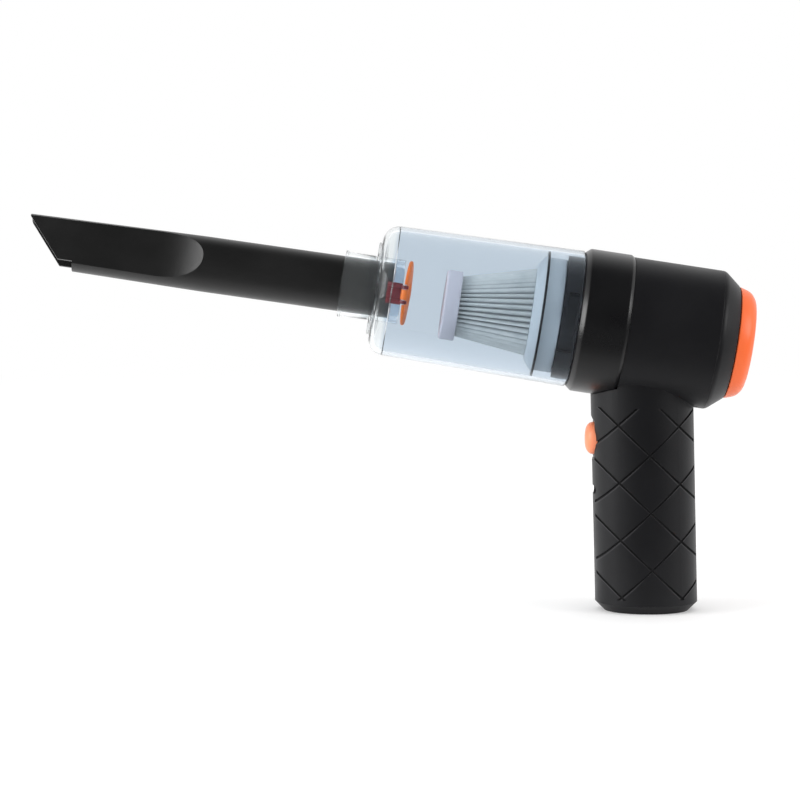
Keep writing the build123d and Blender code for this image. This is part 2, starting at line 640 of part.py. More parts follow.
def rear_bezel():
    """Bevelled ring that closes the barrel and holds the exhaust cap."""
    tail_r = BARREL_R - WALL - SEAT_GAP
    return turned((BARREL_REAR - BEZEL_TAIL, BEZEL_BORE), (BARREL_REAR - BEZEL_TAIL, tail_r),
                  (BARREL_REAR, tail_r), (BARREL_REAR, BARREL_R), (BARREL_REAR + BEZEL_EDGE, BARREL_R),
                  (BEZEL_REAR, BEZEL_REAR_R), (BEZEL_REAR, BEZEL_BORE))


def exhaust_cap():
    """Dished cap with radial slots that plugs into the bezel."""
    rear = CAP_FRONT + CAP_LENGTH
    tail = CAP_FRONT - CAP_SPIGOT_LENGTH
    spigot = BEZEL_BORE - MOVE_GAP
    bevels = [(rear - back, CAP_R - inwards) for back, inwards in CAP_BEVELS]
    cap = turned((tail, spigot), (CAP_FRONT, spigot), (CAP_FRONT, CAP_R),
                 (CAP_FRONT + CAP_FLARE, CAP_R - CAP_DRAFT), *bevels, (rear, 0), (rear - CAP_WALL, 0),
                 (rear - CAP_WALL, spigot - CAP_WALL), (tail, spigot - CAP_WALL))
    inner, outer = CAP_SLOT_SPAN
    slot = block(inner, outer, -CAP_SLOT_WIDTH / 2, CAP_SLOT_WIDTH / 2, rear - 2 * CAP_WALL, rear + 1)
    for number in range(CAP_SLOTS):
        cap -= Rot(0, 0, number * 360 / CAP_SLOTS) * slot
    return cap


# ================================================================ dust cup, flap and nozzle
def cup_radius(station):
    """Outer radius of the cup's drafted side."""
    share = (station - CUP_FRONT) / (COLLAR_FRONT - CUP_FRONT)
    return CUP_FRONT_R + share * (CUP_REAR_R - CUP_FRONT_R)


def dust_cup():
    """Clear cup: drafted side, rounded shoulder, front wall with a hole for the sleeve, bayonet lugs."""
    rear = COLLAR_FRONT - MOVE_GAP
    hole = SLEEVE_R + SEAT_GAP
    inside = SHOULDER_FRONT + CUP_WALL

    def at(station, radius):
        return (radius, 0, station)

    shoulder = ThreePointArc(at(SHOULDER_FRONT, SHOULDER_R),
                             at(SHOULDER_FRONT + SHOULDER_CROWN[0], CUP_FRONT_R - SHOULDER_CROWN[1]),
                             at(CUP_FRONT, CUP_FRONT_R))
    rest = Polyline(at(CUP_FRONT, CUP_FRONT_R), at(rear, CUP_REAR_R), at(rear, CUP_REAR_R - CUP_WALL),
                    at(CUP_FRONT, CUP_FRONT_R - CUP_WALL),
                    at(SHOULDER_FRONT + SHOULDER_INSIDE[0], CUP_FRONT_R - SHOULDER_INSIDE[1]),
                    at(inside, SHOULDER_R), at(inside, hole), at(SHOULDER_FRONT, hole),
                    at(SHOULDER_FRONT, SHOULDER_R))
    cup = revolve(make_face([shoulder, rest]), Axis.Z)
    lug_front, lug_rear = lug_stations()
    for angle in lug_angles():
        cup += ring_piece(lug_front, lug_rear, cup_radius(lug_front) - CUP_WALL / 2, SPIGOT_R - LUG_HEIGHT,
                          LUG_ARC, angle)
    return cup


def inlet_sleeve():
    """Clear sleeve that holds the nozzle, with its flange on the cup's front and the pipe inside the cup."""
    stop = NOZZLE_R - NOZZLE_WALL
    rim_rear = SLEEVE_FRONT + SLEEVE_RIM_LENGTH
    seat = SHOULDER_FRONT - SEAT_GAP
    return turned((SLEEVE_FRONT, SLEEVE_BORE), (SLEEVE_FRONT, SLEEVE_R + SLEEVE_RIM),
                  (rim_rear, SLEEVE_R + SLEEVE_RIM), (rim_rear, SLEEVE_R), (seat - FLANGE_THICK, SLEEVE_R),
                  (seat - FLANGE_THICK, FLANGE_R), (seat, FLANGE_R), (seat, SLEEVE_R), (PIPE_REAR, SLEEVE_R),
                  (PIPE_REAR, stop), (PIPE_STOP, stop), (PIPE_STOP, SLEEVE_BORE))


def on_hinge(radius, length):
    """A round bar on the flap's hinge line."""
    return Pos(0, FLAP_PIN_Y, FLAP_HINGE) * Rot(0, 90, 0) * Cylinder(radius, length)


def flap_bracket():
    """Saddle on the inner pipe with two ears for the flap's pin."""
    rear = PIPE_REAR - SEAT_GAP
    front = rear - SADDLE_LENGTH
    bracket = ring_piece(front, rear, SLEEVE_R + SADDLE_THICK, SLEEVE_R + SHAFT_GAP, SADDLE_ARC, 90)
    for side in (-1, 1):
        low, high = sorted((side * FLAP_EAR_GAP / 2, side * (FLAP_EAR_GAP / 2 + FLAP_EAR_THICK)))
        bracket += block(low, high, SLEEVE_R + SADDLE_THICK / 2, FLAP_PIN_Y, front, rear)
        bracket += block(low, high, FLAP_PIN_Y - FLAP_EAR_R, FLAP_PIN_Y, front, FLAP_HINGE)
        bracket += Pos((low + high) / 2, 0, 0) * on_hinge(FLAP_EAR_R, FLAP_EAR_THICK)
    return bracket - on_hinge(FLAP_PIN_R + SHAFT_GAP, FAR)


def flap_pin():
    """Hinge pin of the flap."""
    return on_hinge(FLAP_PIN_R, FLAP_EAR_GAP + 2 * (FLAP_EAR_THICK + PIN_PROUD))


def inlet_flap():
    """Round flap that covers the pipe, with a knuckle on the pin; it stands a little open."""
    front = PIPE_REAR + MOVE_GAP
    rear = front + FLAP_THICK
    width = FLAP_EAR_GAP - 2 * MOVE_GAP
    flap = disc(front, rear, SLEEVE_R) + disc(rear, rear + FLAP_BOSS, FLAP_BOSS_R)
    flap += block(-width / 2, width / 2, SLEEVE_R / 2, FLAP_PIN_Y, front, rear)
    flap += on_hinge(FLAP_KNUCKLE_R, width)
    flap -= on_hinge(FLAP_PIN_R + SHAFT_GAP, FAR)
    hinge = Pos(0, FLAP_PIN_Y, FLAP_HINGE)
    return hinge * Rot(-FLAP_AJAR, 0, 0) * hinge.inverse() * flap


def scooped_bar(radius, flat):
    """A round bar whose two sides are scooped to flats towards the tip."""
    rear = PIPE_STOP - MOVE_GAP
    tip = NOZZLE_TIP - NOZZLE_WALL
    bar = turned((tip, 0), (tip, radius - NOZZLE_DRAFT), (SCOOP_END, radius), (rear, radius), (rear, 0))
    rise = radius - flat
    half = degrees(atan2(rise, SCOOP_LENGTH))
    bend = (SCOOP_LENGTH ** 2 + rise ** 2) / (2 * rise)
    middle = (SCOOP_END - SCOOP_LENGTH + bend * sin(radians(half)), flat + bend * (1 - cos(radians(half))))
    for side in (-1, 1):
        def point(station, out):
            return (0, side * out, station)
        ramp = ThreePointArc(point(SCOOP_END - SCOOP_LENGTH, flat), point(*middle), point(SCOOP_END, radius))
        beyond = 2 * radius
        rest = Polyline(point(SCOOP_END, radius), point(SCOOP_END, beyond), point(tip - 1, beyond),
                        point(tip - 1, flat), point(SCOOP_END - SCOOP_LENGTH, flat))
        bar -= extrude(make_face([ramp, rest]), amount=FAR / 4, both=True)
    return bar


def crevice_nozzle():
    """Long nozzle: a round tube with scooped flats, a slanted mouth and a set-back underside."""
    outer = scooped_bar(NOZZLE_R, NOZZLE_FLAT)
    inner = scooped_bar(NOZZLE_R - NOZZLE_WALL, NOZZLE_FLAT - NOZZLE_WALL)
    inner += disc(PIPE_STOP - NOZZLE_WALL, PIPE_STOP, NOZZLE_R - NOZZLE_WALL)
    nozzle = outer - inner
    half_flat = sqrt((NOZZLE_R - NOZZLE_DRAFT) ** 2 - NOZZLE_FLAT ** 2)
    nozzle -= Pos(half_flat, 0, NOZZLE_TIP) * Rot(0, 90 - TIP_ANGLE, 0) * block(-FAR, FAR, -FAR, FAR, -FAR, 0)
    nozzle -= block(-FAR, LIP_STEP - half_flat, -FAR, FAR, -2 * FAR, LIP_START)
    seat = Pos(0, 0, (SLEEVE_FRONT + PIPE_STOP) / 2)
    return seat * Rot(0, NOZZLE_DROOP, 0) * seat.inverse() * Rot(0, 0, -NOZZLE_TURN) * nozzle


# ================================================================ filter
def filter_end_cap():
    """Dished cap glued over the small end of the pleats."""
    skirt = PLEAT_SMALL_R + MOVE_GAP
    inside = FILTER_CAP_FRONT + CAP_SKIN
    cap = turned((FILTER_CAP_FRONT, 0), (FILTER_CAP_FRONT, FILTER_CAP_R - FILTER_CAP_EDGE),
                 (FILTER_CAP_FRONT + FILTER_CAP_EDGE, FILTER_CAP_R), (FILTER_CAP_REAR, FILTER_CAP_R),
                 (FILTER_CAP_REAR, skirt), (inside, skirt), (inside, 0))
    return Pos(-FILTER_SAG, 0, 0) * cap


def pleat_sections():
    """(station, outer radius, sag) of the paper: its front, the cap's rear edge and the base."""
    front = FILTER_CAP_FRONT + CAP_SKIN + TOUCH_GAP
    return ((front, PLEAT_SMALL_R, FILTER_SAG), (FILTER_CAP_REAR, PLEAT_SMALL_R, FILTER_SAG),
            (PLEAT_REAR - TOUCH_GAP, PLEAT_LARGE_R, 0))


def star(station, outer, sag):
    """Zigzag outline of the folded paper at one station."""
    points = []
    for number in range(2 * PLEAT_COUNT):
        radius = outer if number % 2 == 0 else outer * PLEAT_SHARE
        angle = radians(number * 180 / PLEAT_COUNT)
        points.append((radius * cos(angle) - sag, radius * sin(angle), station))
    return make_face(Polyline(*points, close=True))


def bore_face(station, outer, sag):
    """Many-sided bore of the folded paper at one station."""
    return Pos(-sag, 0, station) * RegularPolygon(outer * PLEAT_BORE, PLEAT_COUNT // 2)


def filter_pleats():
    """Folded paper cone, with a straight end inside the cap."""
    sections = pleat_sections()
    outers = [star(*section) for section in sections]
    bores = [bore_face(*section) for section in sections]
    paper = loft(outers[:2], ruled=True) + loft(outers[1:], ruled=True)
    return paper - loft(bores[:2], ruled=True) - loft(bores[1:], ruled=True)


def gasket_radius():
    """The gasket's outer radius, just inside the cup's wall."""
    return cup_radius(GASKET_STATION) - CUP_WALL - MOVE_GAP


def filter_base():
    """Moulded ring that carries the pleats and pushes over the guard's nose."""
    bore = NOSE_R + SEAT_GAP
    rear = SPIGOT_FRONT - MOVE_GAP
    seat = GASKET_STATION + GASKET_THICK
    shoulder = gasket_radius() - GASKET_DEEP
    inner = PLEAT_LARGE_R * PLEAT_BORE
    skin = PLEAT_REAR + FLANGE_SKIN
    return turned((PLEAT_REAR, inner), (PLEAT_REAR, FILTER_FLANGE_R), (GASKET_STATION, shoulder),
                  (seat, shoulder), (seat, bore + BASE_RING_WALL), (rear, bore + BASE_RING_WALL),
                  (rear, bore), (GASKET_STATION, bore), (skin, FILTER_FLANGE_R - FLANGE_SKIN), (skin, inner))


def filter_gasket():
    """Rubber ring on the filter's base."""
    outer = gasket_radius()
    return ring(GASKET_STATION, GASKET_STATION + GASKET_THICK, outer, outer - GASKET_DEEP + SHAFT_GAP)


# ================================================================ handle pieces
def handle_base_cap():
    """Bevelled foot that plugs into the handle."""
    foot = extrude(oval(BASE_CHAMFER), amount=BASE_CHAMFER, taper=-45)
    fit = WALL + SEAT_GAP
    plug = column(fit, BASE_CHAMFER - PLUG_WALL, BASE_CHAMFER + BASE_PLUG)
    return foot + plug - column(fit + PLUG_WALL, FOOT_FLOOR, HANDLE_TOP)


def battery_cell():
    """Round cell with its raised contact."""
    tip_r, tip = CELL_TIP
    cell = Pos(CELL_X, 0, (CELL_BOTTOM + CELL_TOP - tip) / 2) * Cylinder(CELL_R, CELL_LENGTH - tip)
    return cell + Pos(CELL_X, 0, CELL_TOP - tip / 2) * Cylinder(tip_r, tip)


def battery_cradle():
    """Trough behind the board that holds the cell."""
    inner = CELL_R + SEAT_GAP
    low, high = CELL_BOTTOM - CRADLE_ROOM, CELL_TOP + CRADLE_ROOM
    middle = (low + high) / 2
    shell = Pos(CELL_X, 0, middle) * Cylinder(inner + CRADLE_WALL, high - low + 2 * CRADLE_WALL)
    shell -= Pos(CELL_X, 0, middle) * Cylinder(inner, high - low)
    shell -= block(CELL_X + CRADLE_MOUTH, FAR, -FAR, FAR, low, high)
    shell -= block(CELL_X + CRADLE_END, FAR, -FAR, FAR, -FAR, FAR)
    return shell & column(WALL + MOVE_GAP, BASE_CHAMFER, HANDLE_TOP)


def battery_contacts():
    """Nickel plates at both ends of the cell."""
    plate = Box(CONTACT_SIDE, CONTACT_SIDE, CONTACT_THICK)
    offset = CRADLE_ROOM / 2
    return group([Pos(CELL_X, 0, CELL_BOTTOM - offset) * plate, Pos(CELL_X, 0, CELL_TOP + offset) * plate])


def charge_board():
    """Circuit board with its larger parts."""
    rear = BOARD_X + BOARD_THICK
    board = block(BOARD_X, rear, -BOARD_WIDTH / 2, BOARD_WIDTH / 2, BOARD_BOTTOM, BOARD_TOP)
    for low, high, width, thick in BOARD_PARTS:
        board += block(BOARD_X, rear + thick, -width / 2, width / 2, low, high)
    return board


def charge_socket():
    """Charging socket behind the port, open at the front."""
    wall_inside = WALL - HALF_X - (PORT_HEIGHT - BASE_CHAMFER) * LEAN_RATE
    front = wall_inside + MOVE_GAP
    plane = Plane(origin=(front, 0, PORT_HEIGHT), x_dir=(0, 1, 0), z_dir=(1, 0, 0))
    depth = BOARD_X - TOUCH_GAP - front
    shell = extrude(plane * SlotOverall(SOCKET_WIDTH, SOCKET_TALL), amount=depth)
    hollow = SlotOverall(SOCKET_WIDTH - 2 * SOCKET_WALL, SOCKET_TALL - 2 * SOCKET_WALL)
    shell -= extrude(plane * hollow, amount=depth - SOCKET_BACK)
    width, thick = TONGUE
    tongue = block(front + SOCKET_BACK, BOARD_X - SOCKET_BACK / 2, -width / 2, width / 2,
                   PORT_HEIGHT - thick / 2, PORT_HEIGHT + thick / 2)
    return shell + tongue


def power_switch():
    """Push switch on the board behind the button."""
    half = SWITCH_SIDE / 2
    front = BOARD_X - SWITCH_DEPTH
    body = block(front, BOARD_X - TOUCH_GAP, -half, half, BUTTON_HEIGHT - half, BUTTON_HEIGHT + half)
    return body + rod_x(0, BUTTON_HEIGHT, front - PLUNGER_LENGTH, BOARD_X - SWITCH_DEPTH / 2, PLUNGER_R)


def power_button():
    """Round button with a domed face, a skirt and a stem for the switch."""
    front = FRONT_AT_BUTTON - BUTTON_PROUD
    flange = FRONT_AT_BUTTON + WELL_DEPTH + MOVE_GAP
    flange_rear = flange + BUTTON_FLANGE_THICK
    inside = front + BUTTON_FACE_THICK
    stem_rear = BOARD_X - SWITCH_DEPTH - PLUNGER_LENGTH - BUTTON_TRAVEL - MOVE_GAP
    edge = [(front + back, BUTTON_R - inwards) for back, inwards in BUTTON_EDGE]
    outline = [(front, 0), (front, BUTTON_R - BUTTON_FACE), *edge, (flange, BUTTON_R),
               (flange, BUTTON_R + BUTTON_FLANGE), (flange_rear, BUTTON_R + BUTTON_FLANGE),
               (flange_rear, BUTTON_R - BUTTON_WALL), (inside, BUTTON_R - BUTTON_WALL), (inside, STEM_R),
               (stem_rear, STEM_R), (stem_rear, 0)]
    profile = Polyline(*[(x, radius, 0) for x, radius in outline], close=True)
    return Pos(0, 0, BUTTON_HEIGHT) * revolve(make_face(profile), Axis.X)


def housing_screws():
    """Screws from the far side, one in each boss."""
    length, width, depth = SCREW_CROSS
    top = SCREW_SEAT + SCREW_HEAD
    screws = []
    for x, z in screw_points():
        screw = rod_y(x, z, SCREW_SEAT, top, SCREW_HEAD_R)
        screw += rod_y(x, z, SCREW_SEAT - SCREW_LENGTH, top, SCREW_R)
        for along, across in ((length, width), (width, length)):
            screw -= block(x - along / 2, x + along / 2, top - depth, top + 1,
                           z - across / 2, z + across / 2)
        screws.append(screw)
    return group(screws)


BARREL_PIECES = {
    "collar_ring": collar_ring, "intake_guard": intake_guard, "fan_case": fan_case,
    "impeller": impeller, "motor_plate": motor_plate, "motor_can": motor_can,
    "motor_end_bell": motor_end_bell, "motor_terminals": motor_terminals,
    "motor_bushes": motor_bushes, "motor_magnets": motor_magnets, "motor_armature": armature,
    "armature_windings": armature_windings,
    "motor_shaft": motor_shaft, "motor_cushions": motor_cushions, "rear_bezel": rear_bezel,
    "exhaust_cap": exhaust_cap, "dust_cup": dust_cup, "inlet_sleeve": inlet_sleeve,
    "flap_bracket": flap_bracket, "flap_pin": flap_pin, "inlet_flap": inlet_flap,
    "crevice_nozzle": crevice_nozzle,
    "filter_end_cap": filter_end_cap, "filter_pleats": filter_pleats,
    "filter_base": filter_base, "filter_gasket": filter_gasket,
}

HANDLE_PIECES = {
    "handle_base_cap": handle_base_cap, "battery_cell": battery_cell,
    "battery_cradle": battery_cradle, "battery_contacts": battery_contacts,
    "charge_board": charge_board, "charge_socket": charge_socket, "power_switch": power_switch,
    "power_button": power_button, "housing_screws": housing_screws,
}


def main():
    os.makedirs("parts", exist_ok=True)
    whole = housing()
    nodes = {"body_shell_left": whole & block(-FAR, FAR, 0, FAR, -FAR, 2 * FAR),
             "body_shell_right": whole & block(-FAR, FAR, -FAR, 0, -FAR, 2 * FAR)}
    nodes.update({name: placed(make()) for name, make in BARREL_PIECES.items()})
    nodes.update({name: make() for name, make in HANDLE_PIECES.items()})
    for name, shape in nodes.items():
        export_step(shape, f"parts/{name}.step")


main()
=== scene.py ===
import bmesh
import bpy
import json
from math import acos, cos, pi, radians, sin, sqrt
from mathutils import Matrix, Vector
from random import Random


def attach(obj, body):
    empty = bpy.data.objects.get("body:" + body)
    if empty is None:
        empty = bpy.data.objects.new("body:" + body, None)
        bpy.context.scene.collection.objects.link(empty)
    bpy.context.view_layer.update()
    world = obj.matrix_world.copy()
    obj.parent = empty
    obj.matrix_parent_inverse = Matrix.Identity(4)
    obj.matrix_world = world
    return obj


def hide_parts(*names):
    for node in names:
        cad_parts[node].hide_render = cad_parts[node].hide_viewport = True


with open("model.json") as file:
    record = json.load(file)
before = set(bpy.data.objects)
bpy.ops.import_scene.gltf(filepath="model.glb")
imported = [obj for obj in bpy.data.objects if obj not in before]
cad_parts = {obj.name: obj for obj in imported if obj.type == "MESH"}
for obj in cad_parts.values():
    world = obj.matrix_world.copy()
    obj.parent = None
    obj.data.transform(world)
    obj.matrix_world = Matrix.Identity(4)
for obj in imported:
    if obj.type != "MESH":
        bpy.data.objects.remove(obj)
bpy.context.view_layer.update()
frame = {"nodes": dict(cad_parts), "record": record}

# %% [markdown]
# ## A hand-held mini vacuum cleaner
# The object stands on the flat end of its handle. A clear dust cup with a black crevice nozzle points
# to the left and slightly up, and the black motor barrel ends in an orange exhaust cap.
# The frame that was just loaded holds the exact engineering solids, grouped into bodies that move.
# This lesson keeps the solids whose form is right, remodels the ones whose soft edges matter, and gives
# every surface a finish of its own. First it sets down the barrel's axis.

# %% The barrel's axis
nodes = frame["nodes"]
MM = 0.001
TILT = radians(8.65)                         # the barrel rises to the nose by this angle
AXIS_SPOT = Vector((-0.0008, 0.0, 0.1189))   # the zero station on the barrel's axis
AXIS_WAY = Vector((cos(TILT), 0, -sin(TILT)))

# %% [markdown]
# ## The camera
# The picture is 800 pixels square. The lens is a long one, as product pictures use: a focal length of
# 2930 pixels stands for a field of only 15.6 degrees, so the barrel's rings show a slight bow and no
# more. The camera looks along +Y and 5 degrees down, so it stands a little higher than what it aims at.

# %% Camera
PICTURE = 800
FOCAL_PIXELS = 2930
SENSOR = 36.0
ELEVATION = 5.0
AIM = Vector((-0.1046, 0.0, 0.0891))
DISTANCE = 1.238
CLIP_SPAN = (0.05, 40)

camera = bpy.data.objects.new("camera", bpy.data.cameras.new("camera"))
bpy.context.scene.collection.objects.link(camera)
bpy.context.scene.camera = camera
camera.data.sensor_width = SENSOR
camera.data.lens = SENSOR * FOCAL_PIXELS / PICTURE
camera.data.clip_start, camera.data.clip_end = CLIP_SPAN
camera.location = AIM + DISTANCE * Vector((0, -cos(radians(ELEVATION)), sin(radians(ELEVATION))))
camera.rotation_euler = (radians(90 - ELEVATION), 0, 0)
print("lens, mm", round(camera.data.lens, 2))

# %% [markdown]
# ## Small helpers for shader nodes
# A finish is a tree of nodes. Four helpers keep each tree short to write. The first adds any node and
# fills in its inputs; a value that is itself an output is linked in place of being copied. The other
# three are the nodes used most: one step of arithmetic, a blend of two colours, and a range stretched
# into another.


# %% Node helpers
def put(tree, kind, inputs=None, **settings):
    """Add a node. Inputs are {name or number: value or output socket}."""
    node = tree.nodes.new("ShaderNode" + kind)
    for key, value in settings.items():
        setattr(node, key, value)
    for key, value in (inputs or {}).items():
        socket = node.inputs[key]
        if isinstance(value, bpy.types.NodeSocket):
            tree.links.new(value, socket)
        else:
            socket.default_value = value
    return node


def maths(tree, operation, a, b=0.0, clamp=False):
    """The output of one Math node."""
    return put(tree, "Math", {0: a, 1: b}, operation=operation, use_clamp=clamp).outputs[0]


def blend_colours(tree, factor, a, b):
    """Colour a where the factor is 0 and colour b where it is 1."""
    node = put(tree, "Mix", {0: factor, 6: a, 7: b}, data_type="RGBA")
    return node.outputs[2]


def remap(tree, value, low, high, new_low, new_high):
    """A value stretched from one range to another and held inside it."""
    node = put(tree, "MapRange", {"Value": value, "From Min": low, "From Max": high,
                                  "To Min": new_low, "To Max": new_high})
    return node.outputs[0]


# %% [markdown]
# ## World and floor
# A product picture is taken between white walls, with the camera's side and the ceiling left dark. The
# walls give black plastic its soft grey flanks, and the dark side shows as the deep black band down the
# middle of each round form. So a ray that mirrors the room sees light walls at the sides and the back,
# and near black in front. A ray that looks straight at the background, or through the clear cup, sees
# white at a strength of 1. A ray that only carries light gets a little less, so that the lamps and the
# room together light a colour to about its own value.

# %% World
BLACK, WHITE = (0, 0, 0, 1), (1, 1, 1, 1)
ROOM_LIGHT = 0.90
DARK_FRONT = 0.045
SIDE_GLOW = 0.86                 # how bright the side walls are; the back wall has 1
SIDE_WALLS = (0.38, 0.78)        # a wall starts and is full at these parts of the way to the side
BACK_WALL = (0.15, 0.80)         # the same for the wall behind the object

world = bpy.data.worlds.new("studio")
bpy.context.scene.world = world
world.use_nodes = True
tree = world.node_tree
tree.nodes.clear()
path = put(tree, "LightPath")
direction = put(tree, "SeparateXYZ", {0: put(tree, "TexCoord").outputs["Generated"]})
sides = remap(tree, maths(tree, "ABSOLUTE", direction.outputs["X"]), *SIDE_WALLS, DARK_FRONT, SIDE_GLOW)
back = remap(tree, direction.outputs["Y"], *BACK_WALL, DARK_FRONT, 1.0)
tent = maths(tree, "MAXIMUM", sides, back)
seen = maths(tree, "MAXIMUM", path.outputs["Is Camera Ray"], path.outputs["Is Transmission Ray"])
mirrored = put(tree, "Mix", {0: path.outputs["Is Glossy Ray"], 2: ROOM_LIGHT, 3: tent})
strength = put(tree, "Mix", {0: seen, 2: mirrored.outputs[0], 3: 1.0})
backdrop = put(tree, "Background", {"Color": WHITE, "Strength": strength.outputs[0]})
put(tree, "OutputWorld", {"Surface": backdrop.outputs[0]})
print("world nodes", len(tree.nodes))

# %% [markdown]
# The floor is a wide disc. Close to the object it is a white surface that takes the object's shadow;
# further out it fades into plain white light, so no horizon line shows. A dark card lies on it in front
# of the object: mirrored in the underside of the barrel, the card keeps the black plastic black. Only
# rays that mirror the floor see the card. A ray through the clear cup can count as both kinds, so those
# that pass through are taken off the mirrored ones.

# %% Floor
FLOOR_RADIUS = 12.0
SHADOW_RADIUS = 0.35
FADE_RADIUS = 1.3
FLOOR_STEPS = 96
FLOOR_GREY = (0.86, 0.86, 0.86, 1)
FLOOR_LIFT = 0.17                # plain light added near the object, which keeps its shadow pale
CARD_EDGE = (-0.16, 0.03)        # the card is full and has faded out at these distances along Y
CARD_SHADE = 0.14

floor_mesh = bpy.data.meshes.new("floor")
shape = bmesh.new()
bmesh.ops.create_circle(shape, cap_ends=True, segments=FLOOR_STEPS, radius=FLOOR_RADIUS)
shape.to_mesh(floor_mesh)
shape.free()
floor = bpy.data.objects.new("floor", floor_mesh)
bpy.context.scene.collection.objects.link(floor)

floor_paint = bpy.data.materials.new("white floor")
floor_paint.use_nodes = True
tree = floor_paint.node_tree
tree.nodes.clear()
path = put(tree, "LightPath")
place = put(tree, "TexCoord").outputs["Object"]
reach = put(tree, "VectorMath", {0: place}, operation="LENGTH").outputs["Value"]
far = remap(tree, reach, SHADOW_RADIUS, FADE_RADIUS, 0.0, 1.0)
glow = remap(tree, far, 0.0, 1.0, FLOOR_LIFT, 1.0)
card = remap(tree, put(tree, "SeparateXYZ", {0: place}).outputs["Y"], *CARD_EDGE, CARD_SHADE, 1.0)
through = path.outputs["Is Transmission Ray"]
mirrored = maths(tree, "SUBTRACT", path.outputs["Is Glossy Ray"], through, clamp=True)
shown = put(tree, "Mix", {0: mirrored, 2: 1.0, 3: card}).outputs[0]
seen = maths(tree, "MAXIMUM", path.outputs["Is Camera Ray"], maths(tree, "MAXIMUM", through, mirrored))
plain = put(tree, "CombineColor", {0: shown, 1: shown, 2: shown}).outputs[0]
paint = put(tree, "Mix", {0: 1.0, 6: FLOOR_GREY, 7: plain}, data_type="RGBA", blend_type="MULTIPLY")
near = maths(tree, "SUBTRACT", 1.0, far)
paint = blend_colours(tree, near, BLACK, paint.outputs[2])
lit = put(tree, "BsdfDiffuse", {"Color": paint})
power = maths(tree, "MULTIPLY", maths(tree, "MULTIPLY", glow, seen), shown)
white = put(tree, "Emission", {"Color": WHITE, "Strength": power})
both = put(tree, "AddShader", {0: lit.outputs[0], 1: white.outputs[0]})
put(tree, "OutputMaterial", {"Surface": both.outputs[0]})
floor_mesh.materials.append(floor_paint)
print("floor radius, m", FLOOR_RADIUS)

# %% [markdown]
# ## Lamps
# Three soft boxes light the object as in a small studio: a strong one at the left that catches the
# chamfers facing the nozzle, a weaker one at the right for the exhaust cap, and a wide one above and
# behind that fills in from over the barrel. The wide one only lights. Mirrored, it would draw a stripe
# along the top of every black piece, so mirroring rays don't see it.

# %% Lamps
LAMPS = {                        # place and width in metres, power in watts
    "left box": ((-1.15, -0.42, 0.42), 0.65, 8.6),
    "right box": ((1.10, -0.50, 0.62), 0.60, 4.0),
    "top box": ((-0.05, 0.70, 1.30), 1.60, 2.8),
}
OBJECT_MIDDLE = Vector((-0.08, 0.0, 0.09))
for name, (spot, size, power) in LAMPS.items():
    lamp = bpy.data.lights.new(name, "AREA")
    lamp.shape = "SQUARE"
    lamp.size = size
    lamp.energy = power
    holder = bpy.data.objects.new(name, lamp)
    holder.location = spot
    holder.rotation_euler = (OBJECT_MIDDLE - Vector(spot)).to_track_quat("-Z", "Y").to_euler()
    holder.visible_glossy = name != "top box"
    bpy.context.scene.collection.objects.link(holder)
    print(name, "power, W", power)
bpy.context.scene.view_settings.view_transform = "Standard"

# %% [markdown]
# ## Effects that several finishes share
# Moulded plastic carries the fine spark-eroded grain of its mould, and its gloss drifts a little from
# place to place. One group makes both from the object's own coordinates: a height for a Bump node and a
# slow patchy mask for colour and roughness. Scales are in grains per metre.


# %% Grain group
def new_group(name, inputs, outputs):
    """An empty shader group with named sockets; inputs are {name: (kind, value)}."""
    group = bpy.data.node_groups.new(name, "ShaderNodeTree")
    for label, (kind, value) in inputs.items():
        socket = group.interface.new_socket(label, in_out="INPUT", socket_type="NodeSocket" + kind)
        socket.default_value = value
    for label, kind in outputs.items():
        group.interface.new_socket(label, in_out="OUTPUT", socket_type="NodeSocket" + kind)
    return group, group.nodes.new("NodeGroupInput"), group.nodes.new("NodeGroupOutput")


grain, given, made = new_group(
    "moulded grain",
    {"Grain Scale": ("Float", 2600.0), "Patch Scale": ("Float", 38.0), "Stretch": ("Vector", (1, 1, 1))},
    {"Height": "Float", "Patches": "Float"})
place = put(grain, "TexCoord").outputs["Object"]
stretched = put(grain, "VectorMath", {0: place, 1: given.outputs["Stretch"]}, operation="MULTIPLY").outputs[0]
fine = put(grain, "TexNoise", {"Vector": stretched, "Scale": given.outputs["Grain Scale"], "Detail": 3.0,
                               "Roughness": 0.6})
patches = put(grain, "TexNoise", {"Vector": place, "Scale": given.outputs["Patch Scale"], "Detail": 4.0,
                                  "Roughness": 0.55, "Distortion": 0.4})
grain.links.new(fine.outputs["Fac"], made.inputs["Height"])
grain.links.new(remap(grain, patches.outputs["Fac"], 0.32, 0.68, 0.0, 1.0), made.inputs["Patches"])
print("group", grain.name, len(grain.nodes), "nodes")

# %% [markdown]
# Handling rubs the crests of a black moulding a little lighter and smoother. The Bevel node gives the
# normal that a rounded edge would have; where it differs from the true one there is an edge. The group
# puts out that soft normal, so that sharp edges catch a thin line of light as real mouldings do, and a
# mask of worn spots along the edges.

